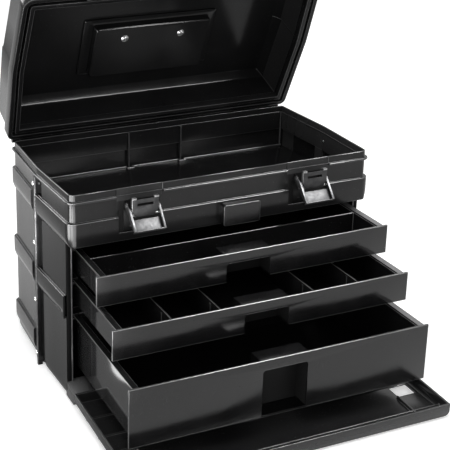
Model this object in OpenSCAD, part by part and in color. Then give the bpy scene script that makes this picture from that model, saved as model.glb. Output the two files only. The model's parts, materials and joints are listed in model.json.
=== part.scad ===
// Portable tool box with three drawers, a hinged lid and a drop-down front cover.
// The case is two moulded half shells joined at mid depth under a metal strip on each side.
// Millimetres, +Z up, front towards -Y. The origin is the centre of the bottom.
// Every piece is drawn in the open, drawers-out state; joints start from there.

/* [Case] */
// Width over the rim at the front and rear corners
case_w = 500; // [420:5:620]
// Depth over the rim
case_d = 256; // [230:2:320]
// Height of the rim above the ground
case_h = 337; // [325:1:400]
// How much each side stands out at the mid-depth seam
side_bulge = 5; // [2:0.5:8]
// Radius of the upright corners
corner_r = 9; // [6:0.5:14]
// Wall thickness of the mouldings
wall_t = 3; // [2.4:0.2:3.6]
// How far the raised belts stand out
belt_out = 4.7; // [4:0.1:5.5]
// Height of a raised belt
belt_h = 37; // [30:1:38]
// Rim top down to the first belt
belt_1_drop = 43; // [40:1:46]
// Rim top down to the second belt
belt_2_drop = 164.5; // [150:0.5:180]
// Height of the lower edge of the third belt
belt_3_z = 17; // [14:1:20]
// Rim top down to the lip that the lid stands over
lip_drop = 10.5; // [9:0.5:13]
// Thickness of the bottom
floor_t = 4; // [3:0.5:5]

/* [Front opening] */
// Rim top down to the upper edge of the drawer opening
panel_h = 80; // [80:1:90]
// Width of the post at each side of the opening
post_w = 8.5; // [7:0.5:12]
// How far the posts stand back from the front panel
post_setback = 18.5; // [14:0.5:22]
// Height of the sill at the posts
sill_z = 28.3; // [27:0.1:30]
// Rim top down to the top of the compartment floor
deck_drop = 71; // [66:1:73]
// Thickness of the compartment floor
deck_t = 3; // [2:0.5:4]

/* [Drawers] */
// Length of a drawer from front to rear
drawer_l = 228; // [196:1:230]
// Height of the two upper drawers
drawer_h = 46; // [36:1:46]
// Clearance under the bottom drawer, above the sill
drawer_3_lift = 12.2; // [11:0.2:14]
// Rim top down to the top of drawer 1
drawer_1_drop = 93.8; // [92:0.2:96]
// Rim top down to the top of drawer 2
drawer_2_drop = 147.5; // [145:0.5:150]
// Rim top down to the top of drawer 3
drawer_3_drop = 206.5; // [204:0.5:208]
// How far drawer 1 is pulled out
drawer_1_out = 97; // [60:1:120]
// How far drawer 2 is pulled out
drawer_2_out = 154; // [125:1:170]
// How far drawer 3 is pulled out
drawer_3_out = 210; // [176:1:211]
// Wall thickness of the drawers
drawer_wall = 2.6; // [2:0.2:3]
// Reach of the runner flange at each side
flange_w = 13; // [10:0.5:15]
// Width of the finger notch
notch_w = 72; // [50:1:90]
// Depth of the hooded pocket behind the notch
pocket_d = 32; // [24:1:40]
// Thickness of a divider
divider_t = 2.4; // [1.8:0.2:3]

/* [Front cover] */
// Width of the drop-down front cover
cover_w = 506; // [430:2:626]
// Length of the cover from its hinge side to its free edge
cover_l = 220; // [200:1:224]
// Depth of the cover's rim
cover_t = 19.5; // [17:0.5:20]
// Height of the cover hinge pins above the ground
cover_pin_z = 18; // [17.5:0.1:18.5]
// How far the free edge hangs below level
cover_droop = 1.9; // [1:0.1:2]

/* [Lid] */
// Angle from closed at which the lid is drawn
lid_open = 67.4; // [55:0.2:95]
// Height of the lid from its skirt to its top
lid_h = 81; // [76:1:96]
// How far the lid skirt stands outside the rim
skirt_out = 8.8; // [8.4:0.1:10]
// Height of the wide skirt band
skirt_h = 20; // [16:1:24]
// Depth of the handle pocket in the lid
handle_pocket_d = 19; // [18:0.5:21]
// Span between the handle pivots
handle_span = 102; // [80:1:130]

/* [Latches and hardware] */
// Sideways place of each draw latch
latch_x = 141.5; // [110:0.5:170]
// Angle that the latch levers stand open
lever_open = 40; // [20:1:60]
// Distance from the lever pivot to the claw pivot
lever_throw = 16; // [15.8:0.1:16.6]
// Sideways place of the middle of each lid hinge, at the given case width
hinge_x = 120; // [116:1:126]
// Sideways place of the cover catch
catch_x = 20; // [-40:1:40]
// Width of the cover catch
catch_w = 62; // [48:1:80]
// Length of a lid hinge, at the given case width
hinge_l = 230; // [120:2:230]

/* [Hidden] */

eps = 0.01;
hw = case_w / 2;                       // half width of the case at its corners
hd = case_d / 2;                       // half depth of the case
arc_n = 6;                             // segments in an upright corner
rim_t = 2;                             // thickness of the wall above the lip
lip_out = 4.5;                         // reach of the lip under the lid
lip_t = 3;
seam_gap = 0.2;                        // half of the line between the half shells
flange_out = 5;                        // seam flange under the joint strip
flange_t = 2.4;
base_h = belt_3_z;                     // height over which the walls draw in to the bottom
base_in = 9;                           // how far they draw in
base_steps = 4;                        // steps in which they do
belt_1_z = case_h - belt_1_drop;       // upper edges of the belts
belt_2_z = case_h - belt_2_drop;
lip_z = case_h - lip_drop;
panel_z = case_h - panel_h;            // lower edge of the front panel
deck_z = case_h - deck_drop;           // top of the compartment floor
post_y = -hd + post_setback;           // front face of the posts
open_hw = hw - post_w;                 // half width of the opening
nose_y = -hd - 15;                     // foremost point of the sill
sill_front_y = -hd - 7;
sill_front_z = sill_z - 7.3;
metal_t = 1.5;
rivet_r = 3;
rivet_h = 1.6;
fit = 0.3;                             // running clearance
steel = [0.72, 0.73, 0.74];
plastic = [0.07, 0.07, 0.075];
plastic_soft = [0.09, 0.09, 0.095];

// Points of an arc of radius r about c from angle a0 to a1
function arc(c, r, a0, a1) = [for (i = [0 : arc_n])
    let (a = a0 + (a1 - a0) * i / arc_n) [c[0] + r * cos(a), c[1] + r * sin(a)]];

// Plan outline of the case, moved outwards by o
function outline(o) = let (r = max(corner_r + o, 2), cx = hw + o - r, cy = hd + o - r) concat(
    arc([cx, -cy], r, -90, 0), [[hw + side_bulge + o, 0]],
    arc([cx, cy], r, 0, 90), arc([-cx, cy], r, 90, 180),
    [[-hw - side_bulge - o, 0]], arc([-cx, -cy], r, 180, 270));

module slab(z0, z1, o) {
    translate([0, 0, z0]) linear_extrude(z1 - z0) polygon(outline(o));
}

// A box between two corners
module block(a, b) {
    translate([min(a[0], b[0]), min(a[1], b[1]), min(a[2], b[2])])
        cube([abs(b[0] - a[0]), abs(b[1] - a[1]), abs(b[2] - a[2])]);
}

// A profile in Y and Z drawn along X from x0 to x1
module along_x(x0, x1, pts) {
    translate([x0, 0, 0]) rotate([90, 0, 90]) linear_extrude(x1 - x0) polygon(pts);
}

module rod_x(x0, x1, y, z, r) {
    translate([x0, y, z]) rotate([0, 90, 0]) cylinder(h = x1 - x0, r = r, $fn = 40);
}

module both_sides() {
    children();
    mirror([1, 0, 0]) children();
}

// ---- case ----------------------------------------------------------------

module belt_solid(z_top, o) {
    slab(z_top - belt_h, z_top, o);
}

module belt_hollow(z_top) {
    slab(z_top - belt_h + wall_t, z_top - wall_t, belt_out - wall_t);
}

// Walls, belts, lip and rim of the whole case, before it is parted at the seam
module case_outer(with_third_belt) {
    for (i = [0 : base_steps])
        slab(base_h * (1 - cos(90 * i / base_steps)), case_h, -base_in * (1 - sin(90 * i / base_steps)));
    belt_solid(belt_1_z, belt_out);
    belt_solid(belt_2_z, belt_out);
    if (with_third_belt) belt_solid(belt_3_z + belt_h, belt_out);
    slab(lip_z - lip_t, lip_z, lip_out);
}

module case_inner() {
    slab(floor_t, case_h + 1, -base_in - wall_t / 2);
    slab(base_h, case_h + 1, -wall_t);
    slab(lip_z, case_h + 1, -rim_t);
    belt_hollow(belt_1_z);
    belt_hollow(belt_2_z);
}

// Outward flange at the seam, gripped by the joint strip; s is -1 front, 1 rear
module seam_flange(s) {
    both_sides()
        block([hw + side_bulge - wall_t, s * seam_gap, 0],
              [hw + side_bulge + flange_out, s * (seam_gap + flange_t), lip_z - lip_t]);
}

module half(s) {
    intersection() {
        children();
        block([-case_w, s * seam_gap, -1], [case_w, s * case_d, case_h + 2]);
    }
}

// Pocket in the lip and belt behind one draw latch
recess_hw = 37;
belt_recess_hw = 34;
belt_recess_drop = 67;
module latch_recess(x) {
    block([x - recess_hw, -hd, lip_z - lip_t - 1], [x + recess_hw, -hd - 20, lip_z + 1]);
    block([x - belt_recess_hw, -hd, case_h - belt_recess_drop],
          [x + belt_recess_hw, -hd - 20, belt_1_z + 1]);
}

// Wall behind the belt where the latch recess would open into the hollow belt
module recess_backing(x) {
    difference() {
        block([x - belt_recess_hw - wall_t, -hd + wall_t, case_h - belt_recess_drop - wall_t],
              [x + belt_recess_hw + wall_t, -hd - belt_out + 1, belt_1_z - 1]);
        block([x - belt_recess_hw, -hd, case_h - belt_recess_drop],
              [x + belt_recess_hw, -hd - 20, belt_1_z + 1]);
    }
}

// Side view of the base ahead of the posts
nose_profile = [[post_y + 6, 2], [post_y + 6, sill_z], [post_y, sill_z],
                [sill_front_y, sill_front_z], [nose_y + 1, sill_front_z - 6],
                [nose_y, sill_front_z - 9], [nose_y + 9, 2]];
nose_wall = 3;
arm_x = [-210, -70, 70, 210];          // places of the cover's hinge arms at the given width
function arm_at(i) = arm_x[i] * case_w / 500;
arm_w = 14;
cheek_t = 8;
cover_pin_y = -hd + 2;
cover_pin_r = 2.5;
arm_r = 5.5;

module nose() {
    difference() {
        union() {
            difference() {
                along_x(-hw, hw, nose_profile);
                along_x(-hw + wall_t, hw - wall_t,
                        [[post_y + 7, -1], [post_y + 7, sill_z - nose_wall],
                         [post_y - 1, sill_z - nose_wall - 0.5],
                         [sill_front_y + 1, sill_front_z - nose_wall],
                         [nose_y + 4.5, sill_front_z - 9], [nose_y + 11, -1]]);
            }
            intersection() {
                along_x(-hw + 1, hw - 1, nose_profile);
                for (i = [0 : 3], s = [-1, 1])
                    block([arm_at(i) + s * (arm_w / 2 + 0.5), nose_y - 1, 0],
                          [arm_at(i) + s * (arm_w / 2 + 0.5 + cheek_t), post_y + 6, sill_z + 1]);
            }
        }
        for (i = [0 : 3]) {
            // slot for the arm, open to the front and above so the cover can stand upright
            block([arm_at(i) - arm_w / 2 - 0.5, nose_y - 1, -1],
                  [arm_at(i) + arm_w / 2 + 0.5, cover_pin_y + arm_r + 1.5, sill_z + 2]);
            rod_x(arm_at(i) - arm_w / 2 - cheek_t - 2, arm_at(i) + arm_w / 2 + cheek_t + 2,
                  cover_pin_y, cover_pin_z, cover_pin_r);
        }
    }
}

module front_shell() color(plastic) {
    half(-1) difference() {
        union() {
            difference() {
                case_outer(false);
                case_inner();
                latch_recess(-latch_x);
                latch_recess(latch_x);
            }
            recess_backing(-latch_x);
            recess_backing(latch_x);
        }
        // the walls end at the posts below the front panel
        block([-case_w, -case_d, -1], [case_w, post_y, panel_z]);
    }
    seam_flange(-1);
    // underside of the front panel and its inner return, which carries the compartment floor
    block([-hw + 1, -hd + 1, panel_z], [hw - 1, post_y, panel_z + wall_t]);
    block([-hw + 2, post_y - wall_t, panel_z], [hw - 2, post_y, deck_z - deck_t]);
    // posts
    both_sides()
        block([open_hw, post_y, floor_t - 1], [hw - 1, post_y + 6, panel_z + 1]);
    nose();
}

rib_x = 48.5;                          // ribs on the inner rear wall
notch_hw = 5;                          // floor notch round a rib
notch_l = 6;
module rear_shell() color(plastic) {
    half(1) difference() {
        case_outer(true);
        case_inner();
        belt_hollow(belt_3_z + belt_h);
    }
    seam_flange(1);
    both_sides()
        block([rib_x - 1.5, hd - wall_t - 2.5, deck_z - deck_t - eps], [rib_x + 1.5, hd - 1, lip_z - 1.5]);
    // ledge under the rear edge of the compartment floor
    block([-hw + 12, hd - wall_t - 6, deck_z - deck_t - 3],
          [hw - 12, hd - 1, deck_z - deck_t]);
}

// Folded metal strip over the seam flanges, with a foot on the rear shell
strip_nose = 6.5;
strip_side = 5;
strip_foot_y = 18;
strip_z0 = 0.5;
strip_foot_z0 = 5;
function side_x(y) = hw + side_bulge - abs(y) * side_bulge / (hd - corner_r);
side_slope = atan(side_bulge / (hd - corner_r));  // lean of each side from the seam
module joint_strip_right() color([0.1, 0.1, 0.105]) {
    x0 = hw + side_bulge;
    strip_h = lip_z - lip_t - 1 - strip_z0;
    difference() {
        union() {
            translate([0, 0, strip_z0]) linear_extrude(strip_h) polygon([
                [side_x(strip_side) + fit, -strip_side], [x0 + strip_nose - 2, -strip_side],
                [x0 + strip_nose, -strip_side + 2], [x0 + strip_nose, strip_side - 2],
                [x0 + strip_nose - 2, strip_side], [side_x(strip_side) + fit, strip_side]]);
            // the foot skips across the belts on their outer face
            translate([0, 0, strip_foot_z0]) linear_extrude(strip_h - 10) polygon([
                [x0 + belt_out + 0.1, 0],
                [side_x(strip_foot_y) + belt_out + 0.1, strip_foot_y],
                [side_x(strip_foot_y) + belt_out + 0.1 + metal_t, strip_foot_y],
                [x0 + belt_out + 0.1 + metal_t, 0]]);
        }
        block([0, -seam_gap - flange_t - 0.1, -1],
              [x0 + flange_out + 0.1, seam_gap + flange_t + 0.1, case_h]);
        slab(-1, base_h, 0.1);
        slab(base_h - eps, case_h, 0.1);
        for (z = [belt_1_z, belt_2_z, belt_3_z + belt_h])
            slab(z - belt_h - 0.1, z + 0.1, belt_out + 0.1);
    }
}

module joint_strip_left() mirror([1, 0, 0]) joint_strip_right();

strip_rivet_y = 12;
strip_rivet_n = 4;
strip_rivet_z0 = 10;                   // height of the lowest rivet
function strip_rivet_z(i) = strip_rivet_z0 + i * (lip_z - 21 - strip_rivet_z0) / (strip_rivet_n - 1);
module dome(r, h) {
    intersection() {
        translate([0, 0, h - (r * r + h * h) / (2 * h)]) sphere(r = (r * r + h * h) / (2 * h), $fn = 40);
        cylinder(h = h + 1, r = r + 1, $fn = 40);
    }
}

module strip_rivets() color(steel)
    both_sides() for (i = [0 : strip_rivet_n - 1])
        translate([side_x(strip_rivet_y) + belt_out + metal_t + 0.1, strip_rivet_y, strip_rivet_z(i)])
            rotate([0, 90, side_slope]) dome(rivet_r, rivet_h);

// ---- drawer runners and compartment floor ----------------------------------

drawer_drops = [drawer_1_drop, drawer_2_drop, drawer_3_drop];
drawer_outs = [drawer_1_out, drawer_2_out, drawer_3_out];
drawer_3_h = case_h - drawer_3_drop - sill_z - drawer_3_lift;
drawer_heights = [drawer_h, drawer_h, drawer_3_h];
flange_t2 = 3;                         // thickness of a drawer's runner flange
runner_in = open_hw - flange_w + 1.5;  // inner edge of the runner shelves
runner_y0 = post_y + 10;
runner_y1 = hd - 8;
screw_in = 14;                         // screws in from the runner's ends
screw_r = 3;
screw_h = 1.3;
function drawer_z(i) = case_h - drawer_drops[i];

module runner_right() color(plastic_soft) {
    // the panel stands on the shoulder where the walls draw in to the bottom
    block([open_hw + 1, runner_y0, base_h], [hw - wall_t - fit, runner_y1, deck_z - deck_t]);
    for (i = [0 : 2]) {
        z = drawer_z(i) - flange_t2 - fit;
        block([runner_in, runner_y0, z - 3], [open_hw + 1 + eps, runner_y1, z]);
        block([runner_in, runner_y0, drawer_z(i) + 0.8], [open_hw + 1 + eps, runner_y1, drawer_z(i) + 3.4]);
    }
}

module runner_left() mirror([1, 0, 0]) runner_right();

module runner_screws() color(steel)
    both_sides() for (y = [runner_y0 + screw_in, runner_y1 - screw_in],
                      z = [(base_h + drawer_z(2)) / 2, (drawer_z(2) + drawer_z(1)) / 2])
        translate([open_hw + 1, y, z]) rotate([0, -90, 0]) dome(screw_r, screw_h);

module compartment_floor() color(plastic_soft) difference() {
    slab(deck_z - deck_t, deck_z, -wall_t - 0.4);
    // notches round the ribs of the rear wall
    both_sides() block([rib_x - notch_hw, hd - wall_t - notch_l, deck_z - deck_t - 1],
                       [rib_x + notch_hw, hd, deck_z + 1]);
}

module floor_screws() color(steel)
    both_sides() for (y = [-hd + 24, hd - 24])
        translate([hw - 16, y, deck_z]) dome(3.2, 1.4);

// ---- drawers ---------------------------------------------------------------

front_y0 = post_y + 1.5;               // front face of a closed drawer
front_t = 3;
front_hw = open_hw - 0.9;
body_hw = open_hw - flange_w - 2;      // outer half width of a drawer body
hood_drop = 2.5;
notch_drop = 16.5;

module drawer(i) {
    h = drawer_heights[i];
    z1 = drawer_z(i);
    z0 = z1 - h;
    y0 = front_y0 - drawer_outs[i];
    y1 = y0 + drawer_l;
    difference() {
        union() {
            block([-front_hw, y0, z0], [front_hw, y0 + front_t, z1]);
            difference() {
                block([-body_hw, y0 + front_t - eps, z0], [body_hw, y1, z1]);
                block([-body_hw + drawer_wall, y0 + front_t, z0 + drawer_wall],
                      [body_hw - drawer_wall, y1 - drawer_wall, z1 + 1]);
            }
            both_sides()
                block([body_hw - eps, y0 + front_t - eps, z1 - flange_t2],
                      [open_hw - 1.5, y1, z1]);
            block([-notch_w / 2 - drawer_wall, y0 + front_t - eps, z0],
                  [notch_w / 2 + drawer_wall, y0 + pocket_d, z1 - hood_drop]);
        }
        // finger notch, open at the lower edge, and the pocket behind it
        block([-notch_w / 2, y0 - 1, z0 - 1], [notch_w / 2, y0 + front_t + eps, z1 - notch_drop]);
        block([-notch_w / 2, y0 + front_t, z0 - 1],
              [notch_w / 2, y0 + pocket_d - drawer_wall, z1 - hood_drop - drawer_wall]);
    }
}

module drawer_1() color(plastic_soft) drawer(0);
module drawer_3() color(plastic_soft) drawer(2);

divider_at = [-0.655, -0.318, 0.355, 0.69];  // places as shares of the inside half width
divider_z_gap = 0.2;
tab_t = 1.6;
module drawer_2() color(plastic_soft) {
    y0 = front_y0 - drawer_outs[1];
    z1 = drawer_z(1);
    drawer(1);
    // slotted guides that the dividers stand in
    for (x = divider_at, s = [-1, 1], y = [y0 + pocket_d + 1, y0 + drawer_l - drawer_wall - 3])
        block([x * body_hw + s * (divider_t / 2 + 0.15), y, z1 - drawer_h + drawer_wall - eps],
              [x * body_hw + s * (divider_t / 2 + 0.15 + tab_t), y + 3 + eps, z1 - 6]);
}

module drawer_2_dividers() color(plastic_soft) {
    y0 = front_y0 - drawer_outs[1];
    z1 = drawer_z(1);
    for (x = divider_at)
        block([x * body_hw - divider_t / 2, y0 + front_t + 0.3, z1 - drawer_h + drawer_wall],
              [x * body_hw + divider_t / 2, y0 + drawer_l - drawer_wall - 0.2, z1 - 3]);
}

// ---- front cover -----------------------------------------------------------

cover_hw = cover_w / 2;
cover_gap_y = 20;                      // rear edge ahead of the hinge pin
cover_top = 12;                        // inner face above the hinge pin
cover_rim = 3;
cover_corner = 8;
rib_t = 2.4;
edge_rib_in = 19;                      // long rib behind the free edge
edge_rib_h = 8;
cross_rib_h = 5.5;
cross_rib_y = [-66, -112, -150];
hole_w = 31;                           // hand hole near each free corner
hole_l = 25;
hole_x0 = cover_hw - 44;
hole_y0 = cover_gap_y + cover_l - 88;  // distance from the hinge pin

// Cross section of the cover in X and Z, with rounded outer edges
module cover_section(inset, z0, z1) {
    r = cover_corner - inset / 2;
    w = cover_hw - inset;
    polygon(concat([[w, z1]], [[-w, z1]],
        arc([-w + r, z0 + r], r, 180, 270), arc([w - r, z0 + r], r, 270, 360)));
}

// Drawn level, with the hinge pin at the origin, the free edge towards -Y
module cover_level() {
    y0 = -cover_gap_y;
    y1 = -cover_gap_y - cover_l;
    z1 = cover_top;
    z0 = cover_top - cover_t;
    difference() {
        union() {
            difference() {
                translate([0, y0, 0]) rotate([90, 0, 0])
                    linear_extrude(cover_l) cover_section(0, z0, z1);
                translate([0, y0 - cover_rim, 0]) rotate([90, 0, 0])
                    linear_extrude(cover_l - 2 * cover_rim)
                        cover_section(cover_rim, z0 + cover_rim, z1 + 1);
            }
            // long rib inside the free edge, cross ribs, and a rib beside each hand hole
            block([-cover_hw + 2, y1 + edge_rib_in, z0 + 1],
                  [cover_hw - 2, y1 + edge_rib_in + rib_t, z0 + edge_rib_h]);
            for (y = cross_rib_y)
                block([-cover_hw + 2, y, z0 + 1], [cover_hw - 2, y + rib_t, z0 + cross_rib_h]);
            both_sides()
                block([hole_x0 - 3 - rib_t, y1 + 2, z0 + 1], [hole_x0 - 3, y1 + 60, z0 + edge_rib_h]);
        }
        both_sides()
            block([hole_x0, -hole_y0, z0 - 1], [hole_x0 + hole_w, -hole_y0 - hole_l, z1]);
    }
    // hinge arms
    for (i = [0 : 3]) difference() {
        union() {
            rod_x(arm_at(i) - arm_w / 2, arm_at(i) + arm_w / 2, 0, 0, arm_r);
            block([arm_at(i) - arm_w / 2, y0 - 1, -arm_r], [arm_at(i) + arm_w / 2, 0, arm_r - 2]);
        }
        rod_x(arm_at(i) - arm_w, arm_at(i) + arm_w, 0, 0, cover_pin_r + 0.15);
    }
}

module front_cover() color(plastic)
    translate([0, cover_pin_y, cover_pin_z]) rotate([cover_droop, 0, 0]) cover_level();

module cover_hinge_pins() color(steel)
    for (i = [0 : 3])
        rod_x(arm_at(i) - arm_w / 2 - cheek_t, arm_at(i) + arm_w / 2 + cheek_t,
              cover_pin_y, cover_pin_z, cover_pin_r);

// ---- cover catch -----------------------------------------------------------

catch_h = 34;
catch_d = 13;
catch_z0 = panel_z + 3;
catch_y = -hd - belt_out;              // face of the belt that carries it
module catch_base() color(steel) {
    block([catch_x - 20, catch_y, catch_z0 + 4], [catch_x + 20, catch_y - 2, catch_z0 + catch_h - 4]);
    block([catch_x - 5, catch_y - 2 + eps, catch_z0 + 4], [catch_x + 5, catch_y - 6, catch_z0 + catch_h - 4]);
}

catch_travel = 6;
module cover_catch() color(plastic) difference() {
    translate([catch_x, catch_y - fit, catch_z0]) rotate([90, 0, 0])
        linear_extrude(catch_d) translate([0, catch_h / 2]) polygon(concat(
            arc([catch_w / 2 - 5, catch_h / 2 - 5], 5, 0, 90), arc([-catch_w / 2 + 5, catch_h / 2 - 5], 5, 90, 180),
            arc([-catch_w / 2 + 5, -catch_h / 2 + 5], 5, 180, 270), arc([catch_w / 2 - 5, -catch_h / 2 + 5], 5, 270, 360)));
    // track that rides on the base
    block([catch_x - 20.5, catch_y + 1, catch_z0 + 3.5 - catch_travel],
          [catch_x + 20.5, catch_y - 2.5, catch_z0 + catch_h - 3.5]);
    block([catch_x - 5.5, catch_y - 2, catch_z0 + 3.5 - catch_travel],
          [catch_x + 5.5, catch_y - 6.5, catch_z0 + catch_h - 3.5]);
}

// ---- lid -------------------------------------------------------------------
// Drawn closed, with its skirt edge at lid_z0, then turned open about the hinge pins

lid_z0 = lip_z + 0.7;
barrel_r = 4;
barrel_pin_r = 2;
barrel_y = hd + skirt_out + 6.2;
barrel_z = lid_z0 + 5.5;
body_out = 2;                          // upper lid walls outside the rim line
lid_top_z = lid_z0 + lid_h;
lid_bevel = 9;
lid_steps = 4;                         // steps round the upper edge of the lid
tongue_in = 10.5;                      // inner face of the tongue inside the rim
tongue_t = 5.5;
pocket_hw = handle_span / 2 + 52;      // half width of the handle pocket
pocket_y0 = hd + skirt_out - case_d * 0.25;
pocket_y1 = hd + skirt_out - case_d * 0.625;
pocket_z = lid_top_z - handle_pocket_d;
pocket_step = 17;                      // reach of the step round the foot of the pocket

module turn_lid() {
    translate([0, barrel_y, barrel_z]) rotate([-lid_open, 0, 0])
        translate([0, -barrel_y, -barrel_z]) children();
}

module lid_closed() {
    difference() {
        union() {
            slab(lid_z0, lid_z0 + skirt_h, skirt_out);
            for (i = [0 : lid_steps])
                slab(lid_z0, lid_top_z - lid_bevel * (1 - sin(90 * i / lid_steps)),
                     body_out - lid_bevel * (1 - cos(90 * i / lid_steps)));
        }
        // inside of the skirt and groove over the rim
        difference() {
            slab(lid_z0 - 1, lid_z0 + lip_drop - 0.5, skirt_out - wall_t);
            slab(lid_z0 - 2, lid_z0 + lip_drop + 1, -tongue_in + tongue_t);
        }
        difference() {
            slab(lid_z0 - 1, lid_z0 + skirt_h - wall_t, skirt_out - wall_t);
            slab(lid_z0 - 2, lid_z0 + skirt_h, body_out);
        }
        slab(lid_z0 - 1, lid_top_z - lid_bevel - wall_t, -tongue_in);
        slab(lid_z0 + lip_drop + 2.5, lid_top_z - lid_bevel - wall_t, body_out - wall_t - 3);
        slab(lid_z0 + lip_drop, lid_top_z - wall_t, body_out - wall_t - lid_bevel);
        // handle pocket
        block([-pocket_hw + wall_t, pocket_y0 - wall_t, pocket_z],
              [pocket_hw - wall_t, pocket_y1 + wall_t, lid_top_z + 1]);
    }
    // shell of the pocket, stepped at its foot
    difference() {
        union() {
            block([-pocket_hw, pocket_y0, pocket_z - wall_t], [pocket_hw, pocket_y1, lid_top_z - 1]);
            block([-pocket_hw - pocket_step, pocket_y0 + 5, lid_top_z - wall_t - 4],
                  [pocket_hw + pocket_step, pocket_y1 - 9, lid_top_z - 1]);
        }
        block([-pocket_hw + wall_t, pocket_y0 - wall_t, pocket_z],
              [pocket_hw - wall_t, pocket_y1 + wall_t, lid_top_z + 1]);
    }
}

module lid_shell() color(plastic) turn_lid() lid_closed();

knuckle_gap = 0.3;
hinge_at = hinge_x * case_w / 500;
hinge_len = hinge_l * case_w / 500;
module knuckle(x0, x1) {
    difference() {
        rod_x(x0, x1, barrel_y, barrel_z, barrel_r);
        rod_x(x0 - 1, x1 + 1, barrel_y, barrel_z, barrel_pin_r + 0.15);
    }
}

module hinge_leaves_case() color(steel) {
    leaf_y = hd + belt_out;
    bend_z = lid_z0 - 4;
    for (s = [-1, 1]) translate([s * hinge_at, 0, 0]) {
        block([-hinge_len / 2, leaf_y, bend_z - 52], [hinge_len / 2, leaf_y + metal_t, bend_z]);
        for (k = [-1, 1]) {
            x0 = k > 0 ? hinge_len / 6 + knuckle_gap : -hinge_len / 2;
            x1 = k > 0 ? hinge_len / 2 : -hinge_len / 6 - knuckle_gap;
            difference() {
                union() {
                    block([x0, leaf_y, bend_z - metal_t], [x1, barrel_y, bend_z]);
                    block([x0, barrel_y - metal_t, bend_z - metal_t], [x1, barrel_y, barrel_z]);
                }
                rod_x(x0 - 1, x1 + 1, barrel_y, barrel_z, barrel_r - 0.2);
            }
            knuckle(x0, x1);
        }
    }
}

module hinge_pins() color(steel)
    for (s = [-1, 1])
        rod_x(s * hinge_at - hinge_len / 2, s * hinge_at + hinge_len / 2, barrel_y, barrel_z, barrel_pin_r);

module hinge_leaves_lid() color(steel) turn_lid() {
    leaf_y = hd + skirt_out;
    for (s = [-1, 1]) translate([s * hinge_at, 0, 0]) {
        block([-hinge_len / 2 + 2, leaf_y, lid_z0 + skirt_h - 1], [hinge_len / 2 - 2, leaf_y + metal_t, lid_z0 + 12]);
        difference() {
            union() {
                block([-hinge_len / 6, leaf_y, barrel_z], [hinge_len / 6, leaf_y + metal_t, lid_z0 + 13]);
                block([-hinge_len / 6, leaf_y, barrel_z + barrel_r - metal_t],
                      [hinge_len / 6, barrel_y, barrel_z + barrel_r]);
            }
            rod_x(-hinge_len / 6 - 1, hinge_len / 6 + 1, barrel_y, barrel_z, barrel_r - 0.2);
        }
        knuckle(-hinge_len / 6, hinge_len / 6);
    }
}

keeper_hw = 20;
keeper_y = -hd - skirt_out + wall_t;   // inner face of the front skirt
keeper_z0 = case_h - 19;
module keeper(x) turn_lid() {
    block([x - keeper_hw, keeper_y, keeper_z0], [x + keeper_hw, keeper_y + metal_t, lid_z0 + 10]);
    block([x - keeper_hw, keeper_y - 2.7, keeper_z0], [x + keeper_hw, keeper_y + eps, keeper_z0 + 2.5]);
}

module keeper_left() color(steel) keeper(-latch_x);
module keeper_right() color(steel) keeper(latch_x);

module keeper_rivets() color(steel) turn_lid()
    for (s = [-1, 1], k = [-1, 1])
        translate([s * latch_x + k * 12, -hd - skirt_out, lid_z0 + 6]) rotate([90, 0, 0]) dome(2.4, 1.2);

// ---- handle ----------------------------------------------------------------

grip_r = 6.5;
grip_reach = pocket_y0 - pocket_y1 - 54;
pivot_y = pocket_y1 + 22;
pivot_z = pocket_z + 9;
handle_pin_r = 2.5;
grip_arm_r = 6;                             // round end of a handle arm
bracket_hw = 9;
module handle_brackets() color(steel) turn_lid()
    for (s = [-1, 1]) translate([s * handle_span / 2, 0, 0]) difference() {
        union() {
            block([-bracket_hw, pivot_y - 9, pocket_z], [bracket_hw, pivot_y + 9, pocket_z + metal_t]);
            for (k = [-1, 1]) {
                ear_0 = k > 0 ? bracket_hw - metal_t : -bracket_hw;
                block([ear_0, pivot_y - 5, pocket_z], [ear_0 + metal_t, pivot_y + 5, pivot_z]);
                rod_x(ear_0, ear_0 + metal_t, pivot_y, pivot_z, 5);
            }
        }
        rod_x(-bracket_hw - 1, bracket_hw + 1, pivot_y, pivot_z, handle_pin_r);
    }

module handle_rivets() color(steel) turn_lid()
    for (s = [-1, 1]) translate([s * handle_span / 2, 0, 0]) {
        translate([0, pivot_y, pocket_z - wall_t]) mirror([0, 0, 1]) dome(4, 2);
        rod_x(-bracket_hw - 1, bracket_hw + 1, pivot_y, pivot_z, handle_pin_r);
    }

module handle() color(plastic_soft) turn_lid() {
    for (s = [-1, 1]) translate([s * handle_span / 2, 0, 0]) difference() {
        union() {
            rod_x(-grip_r, grip_r, pivot_y, pivot_z, grip_arm_r);
            block([-grip_r, pivot_y, pivot_z - 5], [grip_r, pivot_y + grip_reach, pivot_z + 5]);
        }
        rod_x(-grip_r - 1, grip_r + 1, pivot_y, pivot_z, handle_pin_r + 0.15);
    }
    rod_x(-handle_span / 2 - grip_r, handle_span / 2 + grip_r, pivot_y + grip_reach, pivot_z, grip_r);
}

// ---- draw latches ----------------------------------------------------------

latch_y = -hd - 8;                     // lever pivot
latch_z = case_h - 24.7;
latch_plate_hw = 24;
latch_plate_z0 = case_h - 66;
latch_plate_z1 = latch_z + 5;
lever_l = 40;
claw_hw = 21;
ear_x0 = 21.8;
lever_x0 = 23.7;
lever_x1 = 25.2;
latch_pin_r = 1.8;
claw_y = latch_y - lever_throw * sin(lever_open);
claw_z = latch_z - lever_throw * cos(lever_open);

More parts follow.
